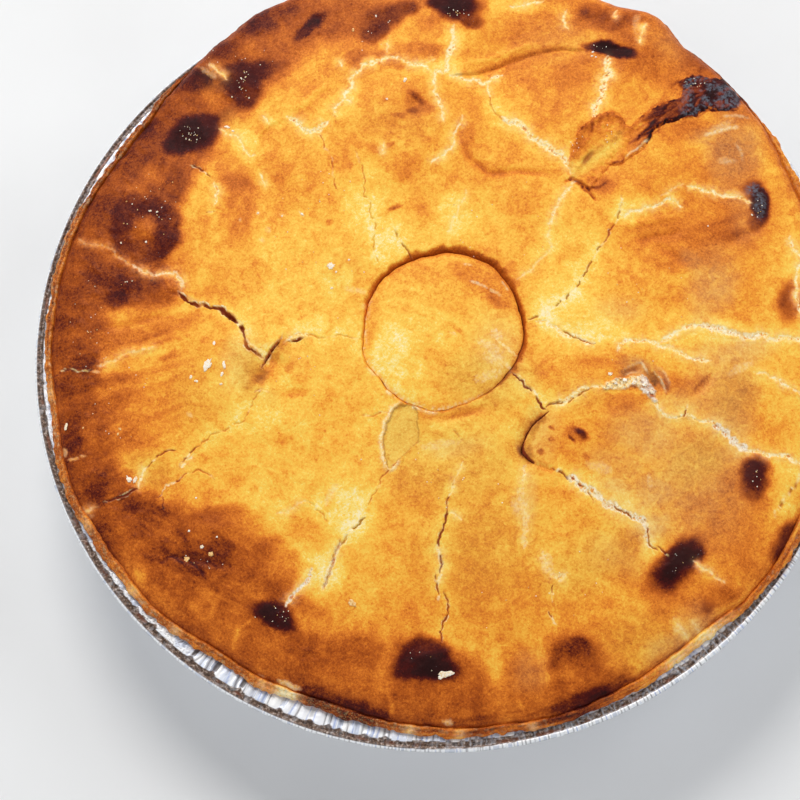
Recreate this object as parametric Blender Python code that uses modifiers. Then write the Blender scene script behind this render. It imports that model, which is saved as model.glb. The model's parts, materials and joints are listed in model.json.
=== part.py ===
# Family-size chicken pot pie, uncut, baked in its own foil tin.
#
# Three pieces:
#   foil_tin   shallow pie tin with a flaring wall, a flat flange and a rolled rim
#   pie        the uncut pie: one solid that fills the tin and domes above it, with the
#              lower crust's edge lying on the flange, a groove, the upper crust's rounded
#              edge, puffed plates and the splits that opened in the oven
#   centre_disc  the round of pastry that sits in its own hole in the middle of the top
#
# Metres, +Z up. The origin is at the centre of the tin's base, on the surface it stands on.
# -Y is the side nearest the person looking at the pie.

import math

import bmesh
import bpy
from mathutils import Matrix, Vector

# ---------------------------------------------------------------- driving sizes
MM = 0.001
SEGMENTS = 72  # steps round every turned piece

# tin
RIM_R = 122.5 * MM  # outside of the rolled rim: a 9 5/8 inch tin
TIN_H = 38.0 * MM  # top of the flange
BASE_R = 90.5 * MM  # flat part of the base
WALL_TOP_R = 114.3 * MM  # inner face of the wall where it meets the flange
FOIL = 0.4 * MM  # drawn thickness of the foil
ROLL_R = 1.2 * MM  # section radius of the rolled rim

# pie
FIT = 0.3 * MM  # clearance between pieces that touch
DOME_H = 12.0 * MM  # middle of the crust above the flange
LIP_W = 2.7 * MM  # width of lower crust that shows outside the upper crust
LIP_H = 2.5 * MM  # its height above the flange
GROOVE_H = 1.5 * MM  # bottom of the groove between the two crusts, above the flange

# centre disc
DISC_A = 23.9 * MM  # half width across
DISC_B = 24.8 * MM  # half length, front to back
DISC_T = 5.5 * MM  # thickness
DISC_GAP = 0.5 * MM  # open line all round it
DISC_CROWN = 1.0 * MM  # the middle of the disc stands this much above its edge
DISC_SINK = 0.6 * MM  # its edge sits this much below the crust beside it


# ---------------------------------------------------------------- shape rules
def smooth(t):
    t = min(1.0, max(0.0, t))
    return t * t * (3.0 - 2.0 * t)


def round_the_tin(stations, degrees):
    """A value that changes smoothly with direction, from (direction, value) pairs."""
    degrees %= 360.0
    for (a0, v0), (a1, v1) in zip(stations, stations[1:] + stations[:1]):
        span = (a1 - a0) % 360.0
        along = (degrees - a0) % 360.0
        if along <= span:
            return v0 + (v1 - v0) * smooth(along / span)
    return stations[0][1]


# how far the pastry stops short of the rolled rim, in mm, by direction (0 is +X, 90 is +Y);
# below zero it has puffed out over the rim
EDGE_INSET = [
    (20, 2.4), (34, 0.2), (44, -0.9), (50, -1.0), (56.5, -5.0), (63, -1.8), (75, -2.2), (86, 0.1),
    (95, 0.1), (104, -1.5), (116, -2.4), (123, 0.2), (130, 2.4), (135, 2.4), (140, 4.4), (148, 4.2),
    (160, 3.1), (178, 3.2), (189, 3.6), (200, 2.4), (222, 3.9), (236, 6.6), (248, 6.0), (262, 4.8),
    (275, 3.6), (286, 2.5), (306, 4.2), (320, 2.6), (345, 2.9),
]
# height of the upper crust's rounded edge above the flange, in mm
EDGE_HEIGHT = [
    (25, 5.5), (45, 7.5), (58, 9.5), (90, 11.0), (118, 9.0), (140, 4.8), (180, 3.8), (235, 3.6),
    (275, 3.8), (320, 4.2),
]
# soft swellings and hollows of the top crust: x, y, radius, height, all in mm
SWELLINGS = [
    (52, -22, 34, 2.0),  # big lifted plate, right of the disc
    (-52, -14, 26, 1.4),  # plate left of the disc
    (-12, 72, 30, 1.6),  # far side
    (62, 52, 30, 1.2),  # far right
    (-72, 52, 26, 1.0),
    (-60, -66, 28, 0.9),
    (14, -78, 30, 1.0),
    (20, 88, 14, -1.2),  # hollow along the far shoulder
    (46, 54, 12, -1.6),  # sunken spot where filling boiled out
    (-8, -34, 16, -0.8),
]
# splits in the top crust: middle line in mm, width, depth
SPLITS = {
    "left": ([(-78, 7), (-71, 5), (-66, 2), (-62, -3), (-60, -8), (-55, -11)], 1.3, 3.0),
    "left_tip": ([(-55, -11), (-51, -6), (-46, -3), (-38, -2), (-28, -2)], 1.0, 2.2),
    "front": ([(1, -46), (0, -58), (-1, -68), (0, -80), (-1, -92)], 1.1, 2.4),
    "front_left": ([(-22, -46), (-28, -58), (-33, -70), (-37, -80)], 1.1, 2.2),
    "right_lip": ([(31, -24), (26, -31), (27, -38), (35, -42)], 1.2, 2.6),
    "right_front": ([(35, -42), (45, -47), (55, -54), (62, -62), (64, -70)], 1.3, 2.8),
    "right": ([(30, -1), (42, -5), (56, -8), (68, -3), (84, -4)], 1.1, 2.0),
    "far": ([(28, 22), (36, 36), (42, 47)], 1.1, 2.0),
    "far_left": ([(-46, 66), (-38, 57), (-34, 44), (-31, 30)], 1.0, 1.8),
    "far_right": ([(48, 52), (50, 66), (52, 78)], 1.1, 2.2),
}


def edge_radius(degrees):
    return RIM_R - round_the_tin(EDGE_INSET, degrees) * MM


def upper_radius(degrees):
    """Radius of the upper crust's edge. Where the crust covers the rim, it reaches further out."""
    hidden = smooth((round_the_tin(EDGE_HEIGHT, degrees) - 5.0) / 2.0)
    return edge_radius(degrees) - LIP_W * (1.0 - 0.6 * hidden)


def crust_height(x, y):
    """Height of the top crust over the flange, away from its rounded edge."""
    r, degrees = math.hypot(x, y), math.degrees(math.atan2(y, x))
    s = min(1.0, r / upper_radius(degrees))
    side = round_the_tin(EDGE_HEIGHT, degrees) * MM
    h = side + (DOME_H - side) * (1.0 - s**2.4)
    for sx, sy, radius, height in SWELLINGS:
        d2 = ((x - sx * MM) ** 2 + (y - sy * MM) ** 2) / (radius * MM) ** 2
        h += height * MM * math.exp(-1.6 * d2) * smooth((1.0 - s) / 0.25)
    return h


# ---------------------------------------------------------------- helpers
def material(name, rgb, roughness, metallic=0.0):
    m = bpy.data.materials.new(name)
    m.use_nodes = True
    shader = m.node_tree.nodes["Principled BSDF"]
    shader.inputs["Base Color"].default_value = (*rgb, 1.0)
    shader.inputs["Roughness"].default_value = roughness
    shader.inputs["Metallic"].default_value = metallic
    m.diffuse_color = (*rgb, 1.0)
    return m


def solid_mesh(source):
    """The evaluated mesh of an object, as a new mesh object with its seams welded; the source is removed."""
    bpy.context.view_layer.update()
    graph = bpy.context.evaluated_depsgraph_get()
    mesh = bpy.data.meshes.new_from_object(source.evaluated_get(graph))
    bm = bmesh.new()
    bm.from_mesh(mesh)
    bmesh.ops.remove_doubles(bm, verts=bm.verts, dist=1e-6)
    bm.to_mesh(mesh)
    bm.free()
    name, world, links = source.name, source.matrix_world.copy(), source.users_collection
    bpy.data.objects.remove(source)
    obj = bpy.data.objects.new(name, mesh)
    obj.matrix_world = world
    links[0].objects.link(obj)
    return obj


def turned(name, profile, collection):
    """A solid of revolution about Z from (radius, z) points that run from the axis, down the outside, back to the axis."""
    mesh = bpy.data.meshes.new(name)
    bm = bmesh.new()
    line = [bm.verts.new((r, 0.0, z)) for r, z in profile]
    for a, b in zip(line, line[1:]):
        bm.edges.new((a, b))
    bm.to_mesh(mesh)
    bm.free()
    obj = bpy.data.objects.new(name, mesh)
    collection.objects.link(obj)
    screw = obj.modifiers.new("turn", "SCREW")
    screw.axis = "Z"
    screw.angle = 2.0 * math.pi
    screw.steps = screw.render_steps = SEGMENTS
    screw.use_merge_vertices = True
    screw.merge_threshold = 1e-5
    screw.use_smooth_shade = True
    return obj


def arc(r0, z0, radius, start, end, steps):
    for i in range(steps + 1):
        a = math.radians(start + (end - start) * i / steps)
        yield r0 + radius * math.cos(a), z0 + radius * math.sin(a)


# ---------------------------------------------------------------- tin
def tin_section():
    """Inner face from the axis outwards, over the flange, round the roll and back down the outer face."""
    roll_r, roll_z = RIM_R - ROLL_R, TIN_H - ROLL_R
    inner = [
        (0.0, FOIL),
        (BASE_R, FOIL),
        (BASE_R + 2.0 * MM, FOIL + 0.6 * MM),
        (BASE_R + 3.3 * MM, FOIL + 2.2 * MM),
        (WALL_TOP_R, TIN_H - 1.2 * MM),
        (WALL_TOP_R + 0.6 * MM, TIN_H - 0.4 * MM),
        (WALL_TOP_R + 1.6 * MM, TIN_H),
    ]
    roll = list(arc(roll_r, roll_z, ROLL_R, 90.0, -222.0, 8))
    under = TIN_H - FOIL
    outer = [
        (WALL_TOP_R + 1.8 * MM, under),
        (WALL_TOP_R + 1.0 * MM, under - 0.3 * MM),
        (WALL_TOP_R + 0.36 * MM, TIN_H - 1.4 * MM),
        (BASE_R + 3.65 * MM, FOIL + 1.95 * MM),
        (BASE_R + 2.2 * MM, 0.3 * MM),
        (BASE_R + 0.1 * MM, 0.0),
        (0.0, 0.0),
    ]
    return inner + roll + outer


# ---------------------------------------------------------------- pie
TOP_SHARES = [0.0, 0.09, 0.16, 0.22, 0.29, 0.36, 0.43, 0.5, 0.57, 0.64, 0.7, 0.76, 0.81,
              0.855, 0.895, 0.93, 0.957, 0.978, 0.992, 1.0]
ROUND_FROM = 0.93  # share of the radius at which the upper crust's edge begins to roll over
NOMINAL_R = 116.0 * MM


def pie_section():
    """(tag, share or offset, z) for each ring of the pie, top to bottom. Tags say how the ring is shaped later."""
    rings = [("top", s, 0.0) for s in TOP_SHARES]
    rings += [
        ("groove", 0.25 * MM, TIN_H + GROOVE_H),
        ("lip", 0.25, TIN_H + LIP_H),
        ("lip", 0.8, TIN_H + LIP_H - 0.2 * MM),
        ("lip", 1.0, TIN_H + 1.4 * MM),
        ("lip", 0.93, TIN_H + FIT),
        ("wall", WALL_TOP_R + 1.5 * MM, TIN_H + FIT),
        ("wall", WALL_TOP_R + 0.25 * MM, TIN_H - 0.2 * MM),
        ("wall", WALL_TOP_R - 0.36 * MM, TIN_H - 1.05 * MM),
        ("wall", BASE_R + 2.95 * MM, FOIL + 2.4 * MM),
        ("wall", BASE_R + 1.8 * MM, FOIL + 0.95 * MM),
        ("wall", BASE_R, FOIL + FIT),
        ("wall", 0.0, FOIL + FIT),
    ]
    return rings


def shape_pie(mesh, rings, keys):
    """Moves the turned pie's vertices from its even rings to the pastry's real edge, dome and plates."""
    for v in mesh.vertices:
        r, z = math.hypot(v.co.x, v.co.y), v.co.z
        tag, a, b = rings[keys[(round(r * 1e6), round(z * 1e6))]]
        if tag == "wall":
            continue
        turn = math.atan2(v.co.y, v.co.x)
        degrees = math.degrees(turn)
        top_r, lip_r = upper_radius(degrees), edge_radius(degrees)
        if tag == "top":
            radius = a * top_r
            h = crust_height(radius * math.cos(turn), radius * math.sin(turn))
            if a > ROUND_FROM:
                low = GROOVE_H + 0.4 * MM
                t = (a - ROUND_FROM) / (1.0 - ROUND_FROM)
                h = low + (h - low) * math.sqrt(max(0.0, 1.0 - t**2.6))
            z = TIN_H + h
        elif tag == "groove":
            radius, z = top_r + a, b
        else:
            radius, z = top_r + (lip_r - top_r) * a, b
        v.co = Vector((radius * math.cos(turn), radius * math.sin(turn), z))


def make_pie(collection):
    rings = pie_section()
    # even placeholder rings, each with its own (radius, z), so that a ring can be told by where it is
    line = []
    for i, (tag, a, b) in enumerate(rings):
        if tag == "top":
            line.append((a * NOMINAL_R, TIN_H + 0.02 - 0.0004 * i))
        elif tag == "groove":
            line.append((NOMINAL_R + 0.0002, b))
        elif tag == "lip":
            line.append((NOMINAL_R + a * LIP_W, b))
        else:
            line.append((a, b))
    keys = {(round(r * 1e6), round(z * 1e6)): i for i, (r, z) in enumerate(line)}
    for (r, z), i in list(keys.items()):  # a turned point may round one micron either way
        for dr in (-1, 0, 1):
            for dz in (-1, 0, 1):
                keys.setdefault((r + dr, z + dz), i)
    pie = solid_mesh(turned("pie", line, collection))
    shape_pie(pie.data, rings, keys)
    return pie


# ---------------------------------------------------------------- splits, cut with thin upright blades
def blade(name, line, width, depth, collection):
    """A closed outline round a line, widest in the middle and pointed at both ends, extruded upright."""
    points = [Vector((x * MM, y * MM)) for x, y in line]
    left, right = [], []
    for i, p in enumerate(points):
        ahead = points[min(i + 1, len(points) - 1)] - points[max(i - 1, 0)]
        side = Vector((-ahead.y, ahead.x)).normalized()
        share = i / (len(points) - 1)
        half = 0.5 * width * MM * (0.25 + 0.75 * math.sin(math.pi * share))
        jog = 0.18 * MM * (-1) ** i  # a torn edge, not a ruled one
        left.append(p + side * (half + jog))
        right.append(p - side * (half - jog))
    outline = left + right[::-1]
    floor = min(TIN_H + crust_height(p.x, p.y) for p in points) - depth * MM
    top = TIN_H + 25.0 * MM
    curve = bpy.data.curves.new(name, "CURVE")
    curve.dimensions = "2D"
    curve.fill_mode = "BOTH"
    curve.extrude = (top - floor) / 2.0
    spline = curve.splines.new("POLY")
    spline.points.add(len(outline) - 1)
    for target, p in zip(spline.points, outline):
        target.co = (p.x, p.y, 0.0, 1.0)
    spline.use_cyclic_u = True
    obj = bpy.data.objects.new(name, curve)
    obj.location.z = (top + floor) / 2.0
    collection.objects.link(obj)
    return solid_mesh(obj)


def hide_tool(obj):
    obj.hide_render = True
    obj.display_type = "WIRE"


def cut(target, tool):
    hide_tool(tool)
    boolean = target.modifiers.new("cut_" + tool.name, "BOOLEAN")
    boolean.operation = "DIFFERENCE"
    boolean.solver = "EXACT"
    boolean.object = tool


# ---------------------------------------------------------------- centre disc
def disc_section(height):
    """The disc's edge stands upright; its top swells to a low crown. Unit radius, stretched afterwards."""
    crown = [
        (0.0, height + DISC_CROWN),
        (0.35, height + 0.88 * DISC_CROWN),
        (0.65, height + 0.58 * DISC_CROWN),
        (0.86, height + 0.22 * DISC_CROWN),
        (0.96, height - 0.1 * MM),
        (1.0, height - 0.7 * MM),
        (0.995, height - DISC_T + 0.3 * MM),
        (0.97, height - DISC_T),
        (0.0, height - DISC_T),
    ]
    return [(r * 0.024, z) for r, z in crown]


def stretch(mesh, a, b):
    for v in mesh.vertices:
        v.co.x *= a / 0.024
        v.co.y *= b / 0.024


def main():
    for obj in list(bpy.data.objects):
        bpy.data.objects.remove(obj)
    scene = bpy.context.scene
    parts = bpy.data.collections.new("chicken_pot_pie")
    tools = bpy.data.collections.new("cutters")
    scene.collection.children.link(parts)
    scene.collection.children.link(tools)

    tin = turned("foil_tin", tin_section(), parts)
    tin.data.materials.append(material("foil", (0.80, 0.81, 0.83), 0.25, 1.0))

    pie = make_pie(parts)
    pie.data.materials.append(material("baked_crust", (0.72, 0.36, 0.08), 0.5))

    # the hole for the centre disc
    rim_height = TIN_H + DOME_H - DISC_SINK  # top of the disc's edge
    pocket_floor = rim_height - DISC_T - FIT
    bpy.ops.mesh.primitive_cylinder_add(
        vertices=SEGMENTS, radius=1.0, depth=1.0, location=(0.0, 0.0, 0.0)
    )
    pocket = bpy.context.object
    pocket.name = "disc_pocket"
    for holder in list(pocket.users_collection):
        holder.objects.unlink(pocket)
    tools.objects.link(pocket)
    pocket_top = TIN_H + 30.0 * MM
    pocket.data.transform(
        Matrix.Translation((0.0, 0.0, (pocket_top + pocket_floor) / 2.0))
        @ Matrix.Diagonal((DISC_A + DISC_GAP, DISC_B + DISC_GAP, pocket_top - pocket_floor, 1.0))
    )
    cut(pie, pocket)
    for name, (line, width, depth) in SPLITS.items():
        cut(pie, blade("split_" + name, line, width, depth, tools))

    disc = solid_mesh(turned("centre_disc", disc_section(rim_height), parts))
    stretch(disc.data, DISC_A, DISC_B)
    disc.data.materials.append(material("disc_crust", (0.80, 0.48, 0.12), 0.5))
    disc.data.shade_smooth()
    disc.data.set_sharp_from_angle(angle=math.radians(50))
    pie.data.shade_smooth()
    pie.data.set_sharp_from_angle(angle=math.radians(50))


main()
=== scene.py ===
import json
import math

import bpy
import numpy as np
from mathutils import Matrix

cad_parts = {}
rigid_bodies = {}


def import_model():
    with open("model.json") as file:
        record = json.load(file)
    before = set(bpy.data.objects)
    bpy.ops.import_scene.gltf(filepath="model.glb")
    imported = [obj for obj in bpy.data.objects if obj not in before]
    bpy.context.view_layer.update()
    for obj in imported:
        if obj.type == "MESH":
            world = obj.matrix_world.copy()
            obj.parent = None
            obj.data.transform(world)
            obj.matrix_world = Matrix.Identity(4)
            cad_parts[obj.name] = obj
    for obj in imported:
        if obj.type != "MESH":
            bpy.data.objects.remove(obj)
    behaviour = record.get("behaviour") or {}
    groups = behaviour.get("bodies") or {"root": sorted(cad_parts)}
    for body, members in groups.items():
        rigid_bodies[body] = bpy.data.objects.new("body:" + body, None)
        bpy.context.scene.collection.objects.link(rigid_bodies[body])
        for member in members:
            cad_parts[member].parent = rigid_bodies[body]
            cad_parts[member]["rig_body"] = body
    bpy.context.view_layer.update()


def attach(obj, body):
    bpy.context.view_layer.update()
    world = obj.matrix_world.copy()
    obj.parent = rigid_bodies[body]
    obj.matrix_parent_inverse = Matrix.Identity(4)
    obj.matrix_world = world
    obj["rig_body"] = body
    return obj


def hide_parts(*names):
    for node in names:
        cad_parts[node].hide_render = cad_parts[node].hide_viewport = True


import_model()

# Looks for an uncut pot pie in its foil tin. Metres, +Z up, the tin's base on z = 0.
# The places of splits, burnt spots and flakes are given as points of the 800 x 800 view
# and are carried onto the crust through the camera below; one step there is about 0.3 mm.

MM = 0.001
for name in ("Cube", "Light", "Camera"):
    if name in bpy.data.objects and "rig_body" not in bpy.data.objects[name]:
        bpy.data.objects.remove(bpy.data.objects[name])

# ------------------------------------------------------------------ camera
CAM = np.array([0.0, -0.22195413, 0.64893074])
AHEAD = np.array([-0.01992007, 0.31743621, -0.94807038])
UP = np.array([0.02881189, 0.94804697, 0.316823])
RIGHT = np.array([0.99938634, -0.02100456, -0.0280311])
LENS, SENSOR, PICTURE = 97.5007, 36.0, 800.0
FOCAL = LENS / SENSOR * PICTURE


def seen_at(x, y, z):
    """Where the camera sees a point, in steps of the 800 x 800 view."""
    dx, dy, dz = x - CAM[0], y - CAM[1], z - CAM[2]
    deep = dx * AHEAD[0] + dy * AHEAD[1] + dz * AHEAD[2]
    across = dx * RIGHT[0] + dy * RIGHT[1] + dz * RIGHT[2]
    upward = dx * UP[0] + dy * UP[1] + dz * UP[2]
    return PICTURE / 2 + FOCAL * across / deep, PICTURE / 2 - FOCAL * upward / deep


camera_data = bpy.data.cameras.new("camera")
camera_data.lens, camera_data.sensor_width = LENS, SENSOR
camera_data.clip_start, camera_data.clip_end = 0.01, 20.0
camera = bpy.data.objects.new("camera", camera_data)
camera.matrix_world = Matrix(
    [[RIGHT[i], UP[i], -AHEAD[i], CAM[i]] for i in range(3)] + [[0, 0, 0, 1]]
)
bpy.context.scene.collection.objects.link(camera)
bpy.context.scene.camera = camera

# ------------------------------------------------------------------ sizes shared with the CAD
RIM_R = 122.5 * MM
TIN_H = 38.0 * MM
BASE_R = 90.5 * MM
WALL_TOP_R = 114.3 * MM
FOIL = 0.4 * MM
ROLL_R = 1.2 * MM
FIT = 0.3 * MM
DOME_H = 12.0 * MM
LIP_W = 2.7 * MM
GROOVE_H = 1.5 * MM
DISC_A, DISC_B = 23.9 * MM, 24.8 * MM
DISC_T, DISC_GAP, DISC_CROWN, DISC_SINK = 5.5 * MM, 0.5 * MM, 1.0 * MM, 0.6 * MM
ROUND_FROM = 0.93
EDGE_INSET = [
    (20, 2.4), (34, 0.2), (44, -0.9), (50, -1.0), (56.5, -5.0), (63, -1.8), (75, -2.2), (86, 0.1),
    (95, 0.1), (104, -1.5), (116, -2.4), (123, 0.2), (130, 2.4), (135, 2.4), (140, 4.4), (148, 4.2),
    (160, 3.1), (178, 3.2), (189, 3.6), (200, 2.4), (222, 3.9), (236, 6.6), (248, 6.0), (262, 4.8),
    (275, 3.6), (286, 2.5), (306, 4.2), (320, 2.6), (345, 2.9),
]
EDGE_HEIGHT = [
    (25, 5.5), (45, 7.5), (58, 9.5), (90, 11.0), (118, 9.0), (140, 4.8), (180, 3.8), (235, 3.6),
    (275, 3.8), (320, 4.2),
]
SWELLINGS = [
    (52, -22, 34, 2.0), (-52, -14, 26, 1.4), (-12, 72, 30, 1.6), (62, 52, 30, 1.2),
    (-72, 52, 26, 1.0), (-60, -66, 28, 0.9), (14, -78, 30, 1.0), (20, 88, 14, -1.2),
    (46, 54, 12, -1.6), (-8, -34, 16, -0.8),
]


# ------------------------------------------------------------------ small maths
def ease(t):
    t = np.clip(t, 0.0, 1.0)
    return t * t * (3.0 - 2.0 * t)


def by_direction(stations):
    """A value that changes smoothly with direction, from (degrees, value) pairs."""
    deg = np.arange(0.0, 360.0, 0.25)
    out = np.empty_like(deg)
    for (a0, v0), (a1, v1) in zip(stations, stations[1:] + stations[:1]):
        span, along = (a1 - a0) % 360.0, (deg - a0) % 360.0
        on = along <= span
        out[on] = v0 + (v1 - v0) * ease(along[on] / span)
    deg, out = np.append(deg, 360.0), np.append(out, out[0])
    return lambda d: np.interp(np.asarray(d) % 360.0, deg, out)


def chance(ix, iy, seed):
    """A fixed number from 0 to 1 for each pair of whole numbers."""
    h = (ix * 374761393 + iy * 668265263 + int(seed) * 144269504) & 0xFFFFFFFF
    h = ((h ^ (h >> 13)) * 1274126177) & 0xFFFFFFFF
    h = ((h ^ (h >> 16)) * 60493) & 0xFFFFFFFF
    return ((h ^ (h >> 15)) & 0xFFFFFF) / 16777216.0


def noise(x, y, size, seed=0, octaves=1, gain=0.5):
    """Smooth noise from -1 to 1 whose lumps are about size across."""
    total, weight, sum_of = 0.0, 1.0, 0.0
    for k in range(octaves):
        turn = 0.7 + 1.3 * k + seed
        c, s = math.cos(turn), math.sin(turn)
        u = (x * c - y * s) / size + 31.7 * seed + 11.0
        v = (x * s + y * c) / size - 17.9 * seed + 5.0
        iu, iv = np.floor(u).astype(np.int64), np.floor(v).astype(np.int64)
        fu, fv = u - iu, v - iv
        fu, fv = fu**3 * (fu * (fu * 6 - 15) + 10), fv**3 * (fv * (fv * 6 - 15) + 10)
        a, b = chance(iu, iv, seed + k), chance(iu + 1, iv, seed + k)
        c0, d0 = chance(iu, iv + 1, seed + k), chance(iu + 1, iv + 1, seed + k)
        total = total + weight * (2 * ((a * (1 - fu) + b * fu) * (1 - fv) + (c0 * (1 - fu) + d0 * fu) * fv) - 1)
        sum_of += weight
        weight *= gain
        size /= 2.03
    return total / sum_of


def spots(x, y, size, seed=0):
    """Distance to the nearest of many scattered points, in shares of size, and that point's own number."""
    u, v = x / size + 7.3 * seed, y / size + 3.1 * seed
    iu, iv = np.floor(u).astype(np.int64), np.floor(v).astype(np.int64)
    best, own = np.full(np.shape(u), 9.0), np.zeros(np.shape(u))
    for i in (-1, 0, 1):
        for j in (-1, 0, 1):
            cu = iu + i + chance(iu + i, iv + j, seed + 1)
            cv = iv + j + chance(iu + i, iv + j, seed + 2)
            d = np.hypot(u - cu, v - cv)
            near = d < best
            best = np.where(near, d, best)
            own = np.where(near, chance(iu + i, iv + j, seed + 3), own)
    return best, own


def follow(px, py, line, reach):
    """Points within reach of a line: which, how far from it, how far along it, its length and which side (+1 right)."""
    lo, hi = line.min(0) - reach, line.max(0) + reach
    near = np.flatnonzero((px > lo[0]) & (px < hi[0]) & (py > lo[1]) & (py < hi[1]))
    p = np.stack((px[near], py[near]), 1)
    away, along, side = np.full(len(near), 1e9), np.zeros(len(near)), np.ones(len(near))
    run = 0.0
    for a, b in zip(line[:-1], line[1:]):
        ab = b - a
        length = math.hypot(*ab)
        t = np.clip((p - a) @ ab / length**2, 0, 1)
        q = p - a - t[:, None] * ab
        d = np.hypot(q[:, 0], q[:, 1])
        m = d < away
        away[m], along[m] = d[m], run + t[m] * length
        cross = ab[0] * (p[:, 1] - a[1]) - ab[1] * (p[:, 0] - a[0])
        side[m] = np.where(cross[m] >= 0, 1.0, -1.0)
        run += length
    keep = away < reach
    return near[keep], away[keep], along[keep], run, side[keep]


def torn(points, seed, rough=0.12, step=2.6):
    """A traced line with the small jogs of torn pastry between its points."""
    rng = np.random.RandomState(seed)
    line = [np.array(p, float) for p in points]
    while max(math.hypot(*(b - a)) for a, b in zip(line, line[1:])) > step:
        finer = [line[0]]
        for a, b in zip(line, line[1:]):
            ab = b - a
            if math.hypot(*ab) > step:
                normal = np.array([-ab[1], ab[0]])
                finer.append((a + b) / 2 + normal * rng.uniform(-rough, rough))
            finer.append(b)
        line = finer
    return np.array(line)


def inside(px, py, outline):
    """True for points inside a closed outline."""
    within = np.zeros(len(px), bool)
    for (x0, y0), (x1, y1) in zip(outline, np.roll(outline, -1, 0)):
        if y0 == y1:
            continue
        hit = (y0 > py) != (y1 > py)
        within ^= hit & (px < (x1 - x0) * (py - y0) / (y1 - y0) + x0)
    return within


def depth_in(px, py, outline, reach):
    """Signed distance from a closed outline, positive inside, within reach of its edge."""
    closed = np.vstack((outline, outline[:1]))
    value = np.where(inside(px, py, outline), reach, -reach).astype(float)
    near, away, *_ = follow(px, py, closed, reach)
    value[near] = np.sign(value[near]) * away
    return value


# ------------------------------------------------------------------ shape rules, as in the CAD
inset_at, height_at = by_direction(EDGE_INSET), by_direction(EDGE_HEIGHT)


def edge_radius(deg):
    return RIM_R - inset_at(deg) * MM


def upper_radius(deg):
    hidden = ease((height_at(deg) - 5.0) / 2.0)
    return edge_radius(deg) - LIP_W * (1.0 - 0.6 * hidden)


disc_shift = by_direction([(0, 0.0), (9, -0.3), (33, -0.1), (52, 0.6), (70, 0.1), (82, -0.3), (97, -1.1), (110, -1.1), (123, -0.8), (138, -0.8), (152, -1.2), (165, -1.6), (177, -1.6),
                           (186, -1.3), (193, -0.6), (203, -0.4), (211, -1.0), (218, -1.5), (228, -0.8), (240, -0.7), (253, -0.9), (261, -0.3), (269, -0.4), (280, -1.3), (293, -1.7),
                           (308, -1.3), (324, -1.1), (339, -0.6), (351, -0.2)])


def disc_edge(deg):
    """How far the disc's outline strays from its plain oval, in metres."""
    t = np.radians(deg)
    return (disc_shift(deg) + 0.22 * noise(24 * np.cos(t), 24 * np.sin(t), 2.6, 130, 2)) * MM


def pocket_radius(deg):
    a, b, t = DISC_A + DISC_GAP, DISC_B + DISC_GAP, np.radians(deg)
    return a * b / np.hypot(b * np.cos(t), a * np.sin(t)) + disc_edge(deg)


def crust_height(x, y):
    r, deg = np.hypot(x, y), np.degrees(np.arctan2(y, x))
    s = np.minimum(1.0, r / upper_radius(deg))
    side = height_at(deg) * MM
    h = side + (DOME_H - side) * (1.0 - s**2.4)
    for sx, sy, radius, height in SWELLINGS:
        d2 = ((x - sx * MM) ** 2 + (y - sy * MM) ** 2) / (radius * MM) ** 2
        h = h + height * MM * np.exp(-1.6 * d2) * ease((1.0 - s) / 0.25)
    return h


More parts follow.
